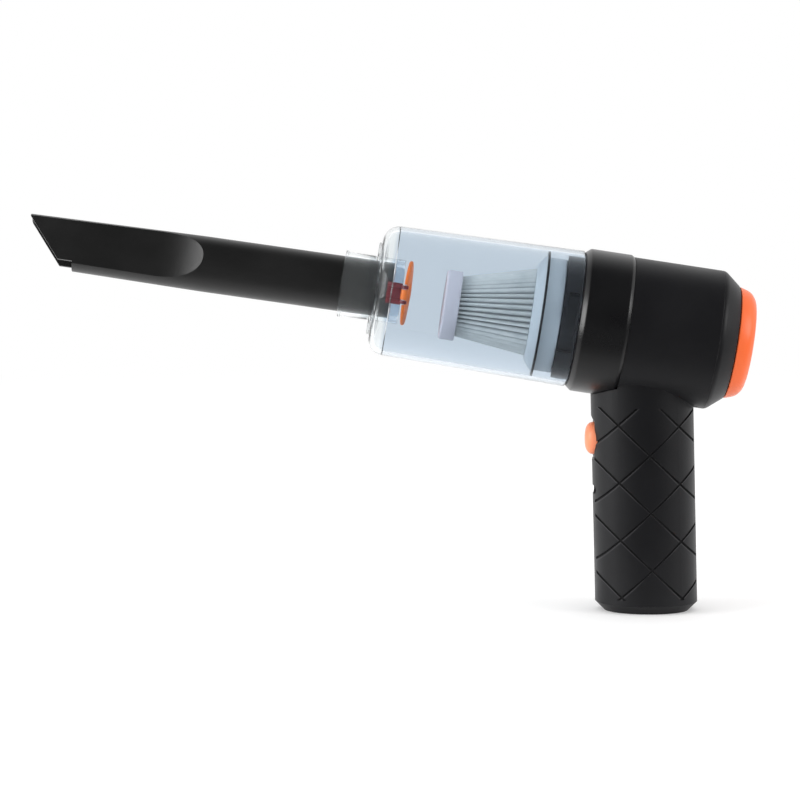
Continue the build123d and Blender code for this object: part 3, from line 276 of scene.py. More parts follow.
# %% Edge group
edges, given, made = new_group(
    "soft edges",
    {"Radius": ("Float", 0.0004), "Wear Scale": ("Float", 260.0)},
    {"Normal": "Vector", "Wear": "Float"})
rounded = put(edges, "Bevel", {"Radius": given.outputs["Radius"]}, samples=4)
true_normal = put(edges, "NewGeometry").outputs["Normal"]
agree = put(edges, "VectorMath", {0: rounded.outputs[0], 1: true_normal}, operation="DOT_PRODUCT")
edge = remap(edges, agree.outputs["Value"], 0.995, 0.90, 0.0, 1.0)
place = put(edges, "TexCoord").outputs["Object"]
spots = put(edges, "TexNoise", {"Vector": place, "Scale": given.outputs["Wear Scale"], "Detail": 5.0,
                                "Roughness": 0.7})
worn = remap(edges, spots.outputs["Fac"], 0.45, 0.62, 0.0, 1.0)
edges.links.new(rounded.outputs[0], made.inputs["Normal"])
edges.links.new(maths(edges, "MULTIPLY", edge, worn), made.inputs["Wear"])
print("group", edges.name, len(edges.nodes), "nodes")

# %% [markdown]
# The handle carries a diamond pattern of fine grooves: flat cuts at one angle and its mirror, at an even
# pitch. The cuts are real in the solid. A third group finds the same lines again from the object's
# coordinates and puts out a mask of their floors, which get painted shade and dust, and one of a painted
# highlight on the lip just below each. The marks fade towards the middle of each side, where the grip faces
# the light.
# The group also marks the parting line, where the two halves of the housing meet. Lengths are in millimetres.

# %% Groove group
GROOVE_TILT = radians(43.6)
HANDLE_LEAN = 0.0279         # the handle leans by this much per unit of height
GROOVE_PITCH = 24.2
GROOVE_START = 19.0
GROOVE_CENTRE = 1.4
GROOVE_SPAN = (6.0, 87.0)
PLAIN_STRIP = 4.5            # half the width of the plain strips along the front and the back
FADE_SPAN = (4.0, 9.0)       # the marks are faint and full at these distances from the middle
FAINT = 0.12

grooves, given, made = new_group(
    "grip lines",
    {"Half Width": ("Float", 0.30), "Softness": ("Float", 0.25), "Lip Width": ("Float", 0.45),
     "Seam Width": ("Float", 0.10)},
    {"Grooves": "Float", "Highlight Lips": "Float", "Seam": "Float"})
place = put(grooves, "TexCoord").outputs["Object"]
place = put(grooves, "VectorMath", {0: place, "Scale": 1000.0}, operation="SCALE").outputs[0]
spot = put(grooves, "SeparateXYZ", {0: place})
beside = maths(grooves, "SUBTRACT", spot.outputs["X"], GROOVE_CENTRE)
masks, highlight_lips = [], []
for side in (-1, 1):
    across = cos(GROOVE_TILT) - side * HANDLE_LEAN * sin(GROOVE_TILT)
    height = maths(grooves, "ADD", maths(grooves, "MULTIPLY", beside, side * sin(GROOVE_TILT) / across),
                   maths(grooves, "MULTIPLY", spot.outputs["Z"], cos(GROOVE_TILT) / across))
    number = maths(grooves, "DIVIDE", maths(grooves, "SUBTRACT", height, GROOVE_START), GROOVE_PITCH)
    part = maths(grooves, "SUBTRACT", maths(grooves, "FRACT", maths(grooves, "ADD", number, 0.5)), 0.5)
    above = maths(grooves, "MULTIPLY", part, GROOVE_PITCH * across)
    away = maths(grooves, "ABSOLUTE", above)
    edge_of_cut = maths(grooves, "ADD", given.outputs["Half Width"], given.outputs["Softness"])
    masks.append(remap(grooves, away, edge_of_cut, given.outputs["Half Width"], 0.0, 1.0))
    # Painted highlight: a lip just below each groove, made lighter as if it caught the light.
    below = maths(grooves, "ABSOLUTE", maths(grooves, "ADD", above, edge_of_cut))
    highlight_lips.append(remap(grooves, below, given.outputs["Lip Width"], 0.0, 0.0, 1.0))
lines = maths(grooves, "MAXIMUM", *masks)
beside_lines = maths(grooves, "SUBTRACT", 1.0, lines)
highlight_lip_lines = maths(grooves, "MULTIPLY", maths(grooves, "MAXIMUM", *highlight_lips), beside_lines)
sideways = maths(grooves, "ABSOLUTE", spot.outputs["Y"])
on_sides = maths(grooves, "GREATER_THAN", sideways, PLAIN_STRIP)
low, high = GROOVE_SPAN
tall_enough = maths(grooves, "GREATER_THAN", spot.outputs["Z"], low)
not_too_tall = maths(grooves, "LESS_THAN", spot.outputs["Z"], high)
inside = maths(grooves, "MULTIPLY", maths(grooves, "MULTIPLY", tall_enough, not_too_tall), on_sides)
fade = remap(grooves, maths(grooves, "ABSOLUTE", beside), *FADE_SPAN, FAINT, 1.0)
inside = maths(grooves, "MULTIPLY", inside, fade)
grooves.links.new(maths(grooves, "MULTIPLY", lines, inside), made.inputs["Grooves"])
grooves.links.new(maths(grooves, "MULTIPLY", highlight_lip_lines, inside), made.inputs["Highlight Lips"])
grooves.links.new(remap(grooves, sideways, given.outputs["Seam Width"], 0.02, 0.0, 1.0), made.inputs["Seam"])
print("group", grooves.name, len(grooves.nodes), "nodes")

# %% [markdown]
# ## Finishes
# Every finish starts from the same few lines: a material with one Principled shader, joined to the grain
# group and the edge group with values of its own. What differs is then written per finish.


# %% A plain moulded finish
GRAIN = 2600.0               # grains per metre
GRAIN_HEIGHT = 0.00003
EDGE_RADIUS = 0.0004
WEAR_SHARE = 0.6             # how far a worn spot goes towards its colour
LIP_HIGHLIGHT_SHARE = 0.7
# A groove's floor is painted with shade and dust, going towards CUT_DARK.
CUT_SHARE = 0.75             # how far a groove's floor goes towards its dark
CUT_ROUGHNESS = 0.3          # what a groove's floor adds to the roughness
CUT_DARK = (4, 4, 5)


def rgb(red, green, blue):
    """A colour written as it looks on a screen, 0 to 255, turned into the shader's linear values."""
    def linear(value):
        value /= 255
        return value / 12.92 if value <= 0.04045 else ((value + 0.055) / 1.055) ** 2.4
    return (linear(red), linear(green), linear(blue), 1.0)


def new_material(name):
    """A material with one Principled shader, ready to be joined up."""
    material = bpy.data.materials.new(name)
    material.use_nodes = True
    tree = material.node_tree
    return material, tree, tree.nodes["Principled BSDF"]


def moulded(name, colour, patchy, worn, rough, grain_scale=GRAIN, specular=0.5, edge_radius=EDGE_RADIUS,
            metallic=0.0, gripped=False):
    """Moulded plastic, rubber or plain metal. Colours as rgb(); rough is (lowest, highest)."""
    # worn is the colour of rubbed edges, and on a gripped finish also of the painted highlight on the groove
    # lips.
    material, tree, shader = new_material(name)
    grains = put(tree, "Group", node_tree=grain)
    grains.inputs["Grain Scale"].default_value = grain_scale
    rims = put(tree, "Group", node_tree=edges)
    rims.inputs["Radius"].default_value = edge_radius
    body = blend_colours(tree, grains.outputs["Patches"], colour, patchy)
    body = blend_colours(tree, maths(tree, "MULTIPLY", rims.outputs["Wear"], WEAR_SHARE), body, worn)
    gloss = remap(tree, grains.outputs["Patches"], 0.0, 1.0, *rough)
    if gripped:
        cuts = put(tree, "Group", node_tree=grooves)
        shade = maths(tree, "MAXIMUM", cuts.outputs["Grooves"], cuts.outputs["Seam"])
        # Painted highlight on the lip below each groove, in the worn colour.
        body = blend_colours(tree, maths(tree, "MULTIPLY", cuts.outputs["Highlight Lips"], LIP_HIGHLIGHT_SHARE), body, worn)
        # Painted shade and dust: groove floors, and the parting line as a dark joint, go towards CUT_DARK.
        body = blend_colours(tree, maths(tree, "MULTIPLY", shade, CUT_SHARE), body, rgb(*CUT_DARK))
        gloss = maths(tree, "ADD", gloss, maths(tree, "MULTIPLY", shade, CUT_ROUGHNESS), clamp=True)
    tree.links.new(body, shader.inputs["Base Color"])
    tree.links.new(gloss, shader.inputs["Roughness"])
    relief = put(tree, "Bump", {"Height": grains.outputs["Height"], "Distance": GRAIN_HEIGHT, "Strength": 1.0,
                                "Normal": rims.outputs["Normal"]})
    tree.links.new(relief.outputs[0], shader.inputs["Normal"])
    shader.inputs["Specular IOR Level"].default_value = specular
    shader.inputs["Metallic"].default_value = metallic
    return material


# %% [markdown]
# ## Clear plastic
# The dust cup is clear polycarbonate with a faint blue-grey tint. Cycles blocks lamp light behind glass,
# so shadow rays are let through with a hint of tint; what stands inside the cup is then lit as it is
# outside. The wall is thin and bends light little, so its index is set lower than that of a solid block.
# The tint is painted paler over the front shoulder, as painted light that keeps the rounded shoulder bright.
# Handling leaves a faint haze, which is only a change of roughness. The sleeve is the same plastic, but
# mirrors less.


# %% Clear plastic
CUP_TINT = (0.722, 0.781, 0.837, 1)
# Painted light: the paler tint that the front shoulder gets.
SHOULDER_TINT = (0.90, 0.925, 0.935, 1)
SHOULDER_SPAN = (-0.1105, -0.1080)
SHADOW_TINT = (0.95, 0.96, 0.97, 1)
THIN_WALL_IOR = 1.25
CUP_MIRROR, SLEEVE_MIRROR = 0.5, 0.1
HAZE = (0.015, 0.06)         # the least and the most roughness
HAZE_PATCHES = 55.0          # patches per metre
WAVE_HEIGHT = 0.000005


def clear_plastic(name, mirror):
    """Clear plastic; mirror is how strongly its faces mirror, 0.5 for a plain one."""
    material, tree, shader = new_material(name)
    grains = put(tree, "Group", node_tree=grain)
    grains.inputs["Patch Scale"].default_value = HAZE_PATCHES
    place = put(tree, "TexCoord").outputs["Object"]
    from_axis = put(tree, "VectorMath", {0: place, 1: AXIS_SPOT}, operation="SUBTRACT").outputs[0]
    station = put(tree, "VectorMath", {0: from_axis, 1: AXIS_WAY}, operation="DOT_PRODUCT").outputs["Value"]
    # The tint goes to the painted paler one over the front shoulder.
    tint = blend_colours(tree, remap(tree, station, *SHOULDER_SPAN, 0.0, 1.0), SHOULDER_TINT, CUP_TINT)
    tree.links.new(tint, shader.inputs["Base Color"])
    shader.inputs["Transmission Weight"].default_value = 1.0
    shader.inputs["IOR"].default_value = THIN_WALL_IOR
    shader.inputs["Specular IOR Level"].default_value = mirror
    tree.links.new(remap(tree, grains.outputs["Patches"], 0.0, 1.0, *HAZE), shader.inputs["Roughness"])
    waves = put(tree, "Bump", {"Height": grains.outputs["Patches"], "Distance": WAVE_HEIGHT, "Strength": 1.0})
    tree.links.new(waves.outputs[0], shader.inputs["Normal"])
    light_ray = put(tree, "LightPath").outputs["Is Shadow Ray"]
    let_through = put(tree, "BsdfTransparent", {"Color": SHADOW_TINT})
    mixed = put(tree, "MixShader", {0: light_ray, 1: shader.outputs[0], 2: let_through.outputs[0]})
    tree.links.new(mixed.outputs[0], tree.nodes["Material Output"].inputs["Surface"])
    return material


# %% [markdown]
# ## Filter paper
# Pleated paper is matt and fibrous, and its valleys get painted shade. The pleats are modelled with a value
# of their own on each point, "fold", that is 0 on a crest and 1 in a valley. The finish reads it to paint
# shade into the valleys, and a stretched noise gives the fibres.


# %% Filter paper
FIBRES = 900.0               # fibres per metre
FIBRE_STRETCH = (0.35, 1.0, 1.0)
FIBRE_HEIGHT = 0.00008
PAPER_PATCHES = 120.0
VALLEY_SHADE_SHARE = 0.8             # how far a valley goes towards its painted shade


def filter_paper():
    """Pleated paper: fibres by a stretched noise, and painted shade in the folds."""
    material, tree, shader = new_material("filter paper")
    grains = put(tree, "Group", node_tree=grain)
    grains.inputs["Grain Scale"].default_value = FIBRES
    grains.inputs["Patch Scale"].default_value = PAPER_PATCHES
    grains.inputs["Stretch"].default_value = FIBRE_STRETCH
    fold = put(tree, "Attribute", attribute_name="fold").outputs["Fac"]
    body = blend_colours(tree, grains.outputs["Patches"], rgb(196, 201, 201), rgb(211, 214, 213))
    fibres = remap(tree, grains.outputs["Height"], 0.35, 0.65, 0.0, 0.35)
    body = blend_colours(tree, fibres, body, rgb(226, 228, 225))
    # Painted shade: the valleys go towards a dark grey.
    valley_shade = remap(tree, fold, 0.45, 1.0, 0.0, VALLEY_SHADE_SHARE)
    body = blend_colours(tree, valley_shade, body, rgb(86, 91, 96))
    tree.links.new(body, shader.inputs["Base Color"])
    tree.links.new(remap(tree, grains.outputs["Height"], 0.3, 0.7, 0.82, 0.96), shader.inputs["Roughness"])
    relief = put(tree, "Bump", {"Height": grains.outputs["Height"], "Distance": FIBRE_HEIGHT,
                                "Strength": 1.0})
    tree.links.new(relief.outputs[0], shader.inputs["Normal"])
    shader.inputs["Specular IOR Level"].default_value = 0.25
    return material


# %% The table of finishes
ORANGE_GRAIN = 1800.0
FINISHES = {
    "black_housing": moulded("black housing", rgb(17, 17, 20), rgb(21, 21, 24), rgb(64, 64, 66),
                             (0.38, 0.46), specular=0.3, gripped=True),
    "black_inner": moulded("black inner plastic", rgb(12, 13, 18), rgb(18, 19, 24), rgb(40, 40, 44),
                           (0.36, 0.44), specular=0.3),
    "nozzle_black": moulded("nozzle black", rgb(20, 20, 20), rgb(24, 24, 24), rgb(36, 36, 34),
                            (0.34, 0.42), edge_radius=0.0001),
    "orange_plastic": moulded("orange plastic", rgb(255, 109, 48), rgb(255, 117, 56), rgb(255, 165, 120),
                              (0.32, 0.42), grain_scale=ORANGE_GRAIN),
    "orange_rubber": moulded("orange rubber", rgb(226, 108, 24), rgb(233, 117, 31), rgb(243, 150, 82),
                             (0.5, 0.65)),
    "dark_red_plastic": moulded("dark red plastic", rgb(98, 14, 26), rgb(113, 19, 31), rgb(145, 52, 54),
                                (0.3, 0.4)),
    "clear_plastic": clear_plastic("clear plastic", CUP_MIRROR),
    "filter_plastic": moulded("filter plastic", rgb(189, 186, 194), rgb(198, 195, 203), rgb(214, 212, 219),
                              (0.5, 0.6)),
    "filter_paper": filter_paper(),
    "black_rubber": moulded("black rubber", rgb(14, 14, 15), rgb(22, 22, 22), rgb(44, 44, 44), (0.6, 0.75),
                            specular=0.3),
    "fan_plastic": moulded("fan plastic", rgb(180, 180, 180), rgb(190, 190, 190), rgb(200, 200, 200),
                           (0.4, 0.5)),
    "steel": moulded("steel", rgb(176, 178, 182), rgb(196, 198, 200), rgb(225, 225, 225), (0.28, 0.4),
                     metallic=1.0),
    "brass": moulded("brass", rgb(214, 176, 104), rgb(226, 190, 120), rgb(240, 210, 150), (0.3, 0.42),
                     metallic=1.0),
    "copper_wire": moulded("copper wire", rgb(196, 110, 68), rgb(208, 122, 78), rgb(230, 150, 110),
                           (0.3, 0.4), metallic=1.0),
    "nickel": moulded("nickel", rgb(205, 202, 192), rgb(215, 212, 204), rgb(235, 232, 226), (0.25, 0.35),
                      metallic=1.0),
    "ferrite": moulded("ferrite", rgb(58, 58, 62), rgb(68, 68, 72), rgb(95, 95, 98), (0.6, 0.75)),
    "cell_wrap": moulded("cell wrap", rgb(46, 110, 170), rgb(52, 118, 178), rgb(90, 150, 200), (0.3, 0.4)),
    "board_green": moulded("circuit board", rgb(24, 92, 52), rgb(30, 102, 60), rgb(120, 150, 110),
                           (0.35, 0.5)),
    "switch_black": moulded("switch plastic", rgb(34, 34, 36), rgb(40, 40, 42), rgb(70, 70, 70),
                            (0.45, 0.55)),
}

for row in frame["record"]["subparts"]:
    node = nodes[row["node"]]
    finish = FINISHES[row["material_slot"]]
    if not node.material_slots:
        node.data.materials.append(finish)
    for place in node.material_slots:
        place.material = finish
print("finishes", len(FINISHES), "on", len(nodes), "nodes")

# %% [markdown]
# ## Turned pieces
# Most of the barrel's pieces are round: the cup, its sleeve, the collar, the bezel, the exhaust cap. Each
# could be a stack of cylinders, but their soft corners are what catches the light. So each is drawn once
# as an outline of (station, radius, corner rounding) in millimetres, its corners are rounded while it is
# still a wire, and the wire is spun about the barrel's axis. A station is a distance along that axis.


# %% Helpers for turned pieces
STEPS = 96
ROUND_STEPS = 3
SHARP = radians(32)
WELD, SLIVER = 0.0005, 0.0004    # mm: points closer than the first merge, shorter edges than the second go


def frame_of(spot, up, near, along):
    """The matrix that carries millimetres in a piece's own frame into the part's frame in metres."""
    return Matrix.Translation(spot) @ Matrix((up, near, along)).transposed().to_4x4() @ Matrix.Scale(MM, 4)


BARREL = frame_of(AXIS_SPOT, (sin(TILT), 0, cos(TILT)), (0, -1, 0), AXIS_WAY)


def turn_about(spot, angle, axis):
    """The matrix of a turn about a spot."""
    return Matrix.Translation(spot) @ Matrix.Rotation(angle, 4, axis) @ Matrix.Translation(-spot)


def turned(outline, angle=2 * pi, steps=STEPS):
    """A bmesh spun about Z from (station, radius, rounding) corners."""
    shape = bmesh.new()
    corners = [shape.verts.new((radius, 0, station)) for station, radius, _ in outline]
    for first, second in zip(corners, corners[1:] + corners[:1]):
        if first.co.x + second.co.x > 0:
            shape.edges.new((first, second))
    for corner, (_, _, size) in zip(corners, outline):
        if size:
            bmesh.ops.bevel(shape, geom=[corner], offset=size, offset_type="OFFSET", affect="VERTICES",
                            segments=ROUND_STEPS + int(size), profile=0.5, material=-1, clamp_overlap=True)
    full = angle == 2 * pi
    bmesh.ops.spin(shape, geom=shape.verts[:] + shape.edges[:], cent=(0, 0, 0), axis=(0, 0, 1), angle=angle,
                   steps=steps, use_merge=full, use_normal_flip=False, use_duplicate=False)
    tidy(shape)
    return shape


def tidy(shape):
    """Close seams and poles, and point the faces outwards."""
    bmesh.ops.remove_doubles(shape, verts=shape.verts[:], dist=WELD)
    bmesh.ops.dissolve_degenerate(shape, dist=SLIVER, edges=shape.edges[:])
    bmesh.ops.recalc_face_normals(shape, faces=shape.faces[:])


def lofted(stations, ring_at, count):
    """A skin through one ring per station; ring_at(station) gives the ring's (up, near) corners."""
    shape = bmesh.new()
    order = shape.verts.layers.int.new("order")
    ring = bmesh.ops.create_circle(shape, segments=count, radius=1.0)["verts"]
    for number, corner in enumerate(ring):
        corner[order] = number
    rim = shape.edges[:]
    for number, station in enumerate(stations):
        if number:
            grown = bmesh.ops.extrude_edge_only(shape, edges=rim)["geom"]
            rim = [part for part in grown if isinstance(part, bmesh.types.BMEdge)]
            ring = [part for part in grown if isinstance(part, bmesh.types.BMVert)]
        points = ring_at(station)
        for corner in ring:
            corner.co = (*points[corner[order]], station)
    return shape


def add_to(shape, other):
    """Put another bmesh into this one."""
    parcel = bpy.data.meshes.new("parcel")
    other.to_mesh(parcel)
    other.free()
    shape.from_mesh(parcel)
    bpy.data.meshes.remove(parcel)


def finish_piece(shape, name, body, slot_name, *stands_for, place=BARREL, sharp=SHARP, finish=None):
    """Turn a bmesh in millimetres into a piece that rides on a body, with its slot's finish or its own."""
    bmesh.ops.transform(shape, matrix=place, verts=shape.verts[:])
    for face in shape.faces:
        face.smooth = True
    shape.edges.index_update()
    open_rims = [edge.index for edge in shape.edges if edge.is_boundary]
    mesh = bpy.data.meshes.new(name)
    shape.to_mesh(mesh)
    shape.free()
    mesh.set_sharp_from_angle(angle=sharp)
    for number in open_rims:
        mesh.edges[number].use_edge_sharp = True
    mesh.materials.append(finish or FINISHES[slot_name])
    piece = bpy.data.objects.new(name, mesh)
    bpy.context.scene.collection.objects.link(piece)
    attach(piece, body)
    if stands_for:
        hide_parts(*stands_for)
    print(name, len(mesh.polygons), "faces")
    return piece


# %% [markdown]
# ## The clear dust cup
# The cup is one clear moulding, 1.8 mm thick, that narrows a little to the front and closes in a round
# shoulder. Clear plastic shows both faces of its wall, so the wall is even all the way round, and a fine
# step inside draws the thin line where the shoulder starts. Three bayonet lugs stand inside the rear edge.
# They are extruded out of the inner wall, so the plastic stays one piece with no hidden faces.

# %% Dust cup
LUG_ENDS = (-35.5, -31.9)
LUG_ANGLES = (78, 198, 318)
LUG_HALF_ARC = 13
LUG_SHRINK = 24.7 / 27.03    # a lug's inner radius over the wall's
INNER_WALL = 27.5            # only the inner wall lies within this radius
CUP_OUTLINE = [(-115.4, 13.75, 0.3), (-115.4, 27.3, 6.8), (-30.6, 28.9, 0.7), (-30.6, 27.1, 0.4),
               (LUG_ENDS[1], 27.07, 0), (LUG_ENDS[0], 27.0, 0), (-108.5, 25.6, 0), (-108.8, 25.2, 0),
               (-113.6, 25.2, 4.7), (-113.6, 13.75, 0.3)]
CUP_STEPS = 120

cup = turned(CUP_OUTLINE, steps=CUP_STEPS)
for middle in LUG_ANGLES:
    towards = Vector((cos(radians(middle)), sin(radians(middle)), 0))
    patch = []
    for face in cup.faces:
        centre = face.calc_center_median()
        radial = Vector((centre.x, centre.y, 0))
        at_lug = LUG_ENDS[0] < centre.z < LUG_ENDS[1] and radial.length < INNER_WALL
        if at_lug and radial.angle(towards) < radians(LUG_HALF_ARC):
            patch.append(face)
    grown = bmesh.ops.extrude_face_region(cup, geom=patch)["geom"]
    raised = [part for part in grown if isinstance(part, bmesh.types.BMVert)]
    bmesh.ops.delete(cup, geom=patch, context="FACES")
    bmesh.ops.scale(cup, verts=raised, vec=(LUG_SHRINK, LUG_SHRINK, 1))
    print("lug at", middle, "degrees from", len(patch), "faces")
finish_piece(cup, "clear_cup", "dust_cup", "clear_plastic", "dust_cup")

# %% [markdown]
# The nozzle is held by a clear sleeve with a round flange, welded to the cup's front. Its front edge has a
# thin raised rim, and inside the cup it goes on as a short pipe that the flap closes.

# %% Inlet sleeve
SLEEVE_OUTLINE = [(-129.8, 12.0, 0.2), (-129.8, 14.1, 0.3), (-128.6, 14.1, 0.3), (-128.6, 13.6, 0.1),
                  (-116.55, 13.6, 0.1), (-116.55, 19.5, 0.3), (-115.55, 19.5, 0.3), (-115.55, 13.6, 0.1),
                  (-104.2, 13.6, 0.3), (-104.2, 10.4, 0.3), (-108.1, 10.4, 0.2), (-108.1, 12.0, 0.1)]
finish_piece(turned(SLEEVE_OUTLINE), "clear_sleeve", "dust_cup", "clear_plastic", "inlet_sleeve",
             finish=clear_plastic("sleeve plastic", SLEEVE_MIRROR))

# %% [markdown]
# ## The crevice nozzle
# The long nozzle is a round tube whose two sides are scooped flat towards the tip, so that it reaches into
# a gap. Each flat runs out in a concave ramp that ends in a crisp half-ellipse on the tube. A skin is
# lofted: every ring is two arcs and two straight chords, and a chord shrinks to a point where its ramp
# ends, so the ellipse draws itself. The mouth and the set-back underside are then cut by planes. An inner
# skin is made and cut the same way, and the open rims of the two are bridged, so the mouth's rim lies in
# the plane of the cut. The real one is moulded on a core with the same two scoops.

# %% Crevice nozzle
NOZZLE_RADIUS = 11.7
NOZZLE_DRAFT = 1.0
NOZZLE_ENDS = (-265.3, -108.3)
FLAT_AT = 6.0
SCOOP = (-208.4, -188.4)
SCOOP_STEPS = 22
MOUTH_TIP, MOUTH_ANGLE = -262.9, radians(50.5)   # where the slanted cut leaves the upper side
MOUTH_END = -262.8           # the point of the mouth is cut square here
LIP_START, LIP_STEP = -242.7, 0.6
NOZZLE_TURN, NOZZLE_DROOP = radians(18), radians(0.55)
SEAT_MIDDLE = Vector((0, 0, -118.95))
NOZZLE_WALL = 1.3
CHORD_PARTS, ARC_PARTS = 8, 40
BEFORE_SCOOP, BEHIND_SCOOP = [-250, -236, -222], [-165, -140]
HALF_WAY = -150              # one rim of the tube lies before this station, the other behind it
NOZZLE_WELD, HAIR = 0.05, 0.01
NOZZLE_SHARP = radians(18)
HALF_FLAT = sqrt((NOZZLE_RADIUS - NOZZLE_DRAFT) ** 2 - FLAT_AT ** 2)
RISE, RUN = NOZZLE_RADIUS - FLAT_AT, SCOOP[1] - SCOOP[0]
BEND = (RUN ** 2 + RISE ** 2) / (2 * RISE)


def cut(shape, spot, way, parts=None, drop=True):
    """Cut a shape, or parts of it, by a plane, and drop what lies behind the plane."""
    parts = parts or shape.verts[:] + shape.edges[:] + shape.faces[:]
    bmesh.ops.bisect_plane(shape, geom=parts, clear_inner=drop, plane_co=spot, plane_no=way)


def nozzle_skin(inwards):
    """The outer skin at 0, the inner one at the wall's thickness, both cut by the same planes."""
    def ring_at(station):
        radius = NOZZLE_RADIUS - NOZZLE_DRAFT * max(0, (SCOOP[1] - station) / (SCOOP[1] - NOZZLE_ENDS[0]))
        along = min(max(station - SCOOP[0], 0), RUN)
        flat = min(FLAT_AT + BEND - sqrt(BEND ** 2 - along ** 2), radius) - inwards
        radius -= inwards
        half, lean = sqrt(radius ** 2 - flat ** 2), acos(flat / radius)
        points = []
        for side in (1, -1):
            for part in range(CHORD_PARTS):
                points.append((side * half * (2 * part / CHORD_PARTS - 1), side * flat))
            for part in range(ARC_PARTS):
                angle = lean + (pi - 2 * lean) * part / ARC_PARTS
                points.append((side * radius * sin(angle), side * radius * cos(angle)))
        return points

    ramp = [SCOOP[1] - RUN * (1 - step / SCOOP_STEPS) ** 2 for step in range(SCOOP_STEPS + 1)]
    stations = [NOZZLE_ENDS[0], *BEFORE_SCOOP, *ramp, *BEHIND_SCOOP, NOZZLE_ENDS[1]]
    skin = lofted(stations, ring_at, 2 * (CHORD_PARTS + ARC_PARTS))
    tidy(skin)
    cut(skin, (HALF_FLAT, 0, MOUTH_TIP), (cos(MOUTH_ANGLE), 0, sin(MOUTH_ANGLE)))
    cut(skin, (0, 0, MOUTH_END), (0, 0, 1))
    cut(skin, (0, 0, LIP_START), (0, 0, 1), drop=False)
    front = [face for face in skin.faces if face.calc_center_median().z < LIP_START]
    front += list({edge for face in front for edge in face.edges})
    front += [corner for corner in skin.verts if corner.co.z < LIP_START - HAIR]
    cut(skin, (LIP_STEP - HALF_FLAT, 0, 0), (1, 0, 0), parts=front)
    bmesh.ops.remove_doubles(skin, verts=skin.verts[:], dist=NOZZLE_WELD)
    return skin


tube = nozzle_skin(0)
add_to(tube, nozzle_skin(NOZZLE_WALL))
for at_rear in (False, True):
    rims = [edge for edge in tube.edges if edge.is_boundary and (edge.verts[0].co.z > HALF_WAY) == at_rear]
    print("rim faces", len(bmesh.ops.bridge_loops(tube, edges=rims)["faces"]))
bmesh.ops.recalc_face_normals(tube, faces=tube.faces[:])
hang = turn_about(SEAT_MIDDLE, NOZZLE_DROOP, "Y")
bmesh.ops.transform(tube, matrix=hang @ Matrix.Rotation(-NOZZLE_TURN, 4, "Z"), verts=tube.verts[:])
finish_piece(tube, "scooped_nozzle", "crevice_nozzle", "nozzle_black", "crevice_nozzle", sharp=NOZZLE_SHARP)

# %% [markdown]
# ## The inlet flap
# A soft orange disc with a thicker middle hangs on a pin at the pipe's near side and stands a little open.
# It is a turned disc, an arm from a cube, and a turned knuckle laid along the pin, all in one mesh.

# %% Inlet flap
FLAP_OUTLINE = [(-103.9, 0, 0), (-103.9, 13.6, 0.5), (-102.6, 13.6, 0.5), (-102.3, 4.4, 0.5),
                (-101.8, 3.8, 0.3), (-101.8, 0, 0)]
KNUCKLE_OUTLINE = [(-2.1, 0.65, 0), (-2.1, 1.4, 0.25), (2.1, 1.4, 0.25), (2.1, 0.65, 0)]
KNUCKLE_STEPS = 24
ARM_SIZE = (4.2, 7.6, 1.3)
ARM_ROUNDING = 0.25
ARM_MIDDLE = Vector((0, 11.4, -103.2))
HINGE = Vector((0, 16.0, -103.2))
AJAR = radians(5)

flap = turned(FLAP_OUTLINE)
arm = bmesh.new()
bmesh.ops.create_cube(arm, size=1.0)
bmesh.ops.scale(arm, verts=arm.verts[:], vec=ARM_SIZE)
bmesh.ops.bevel(arm, geom=arm.edges[:], offset=ARM_ROUNDING, offset_type="OFFSET", affect="EDGES", segments=2,
                profile=0.5, material=-1)
bmesh.ops.translate(arm, verts=arm.verts[:], vec=ARM_MIDDLE)
add_to(flap, arm)
knuckle = turned(KNUCKLE_OUTLINE, steps=KNUCKLE_STEPS)
lie = Matrix.Translation(HINGE) @ Matrix.Rotation(pi / 2, 4, "Y")
bmesh.ops.transform(knuckle, matrix=lie, verts=knuckle.verts[:])
add_to(flap, knuckle)
bmesh.ops.transform(flap, matrix=turn_about(HINGE, -AJAR, "X"), verts=flap.verts[:])
finish_piece(flap, "flap_disc", "inlet_flap", "orange_rubber", "inlet_flap")

# %% [markdown]
# ## The filter
# The filter is a cone of pleated paper between two mouldings. Forty folds are creased in one strip, so the
# paper starts as a circle of eighty points, every second one pulled in, and is extruded ring by ring to
# the large end. Each ring is turned and pulled by a hair at each fold, as hand-creased paper is. The
# small end hangs a little below the axis. A Solidify modifier gives the paper its thickness.

# %% Pleated paper
FOLDS = 40
FOLD_DEPTH = 0.86
SMALL_END, CAP_EDGE, LARGE_END = -84.4, -79.9, -50.1
SMALL_RADIUS, LARGE_RADIUS = 12.7, 18.5
PLEAT_STATIONS = [SMALL_END, CAP_EDGE, -72, -64, -57, LARGE_END]
SAG = 2.2
PAPER_THICK = 0.35 * MM
PAPER_SHARP = radians(20)
CREASE_PLAY = 0.010          # the most a fold is turned, in radians
CREASE_PULL = 0.010          # the most a fold is pulled, as a part of its radius

dice = Random(7)
turns = [dice.uniform(-1, 1) for _ in range(2 * FOLDS)]


def pleat_ring(station):
    """The zigzag of the folds at one station: crests at full radius, valleys pulled in."""
    share = max(0, (station - CAP_EDGE) / (LARGE_END - CAP_EDGE))
    radius = SMALL_RADIUS + share * (LARGE_RADIUS - SMALL_RADIUS)
    points = []
    for number, play in enumerate(turns):
        size = radius * (FOLD_DEPTH if number % 2 else 1.0) * (1 + CREASE_PULL * play)
        angle = number * pi / FOLDS + CREASE_PLAY * turns[number - 1]
        points.append((size * cos(angle) - SAG * (1 - share), size * sin(angle)))
    return points


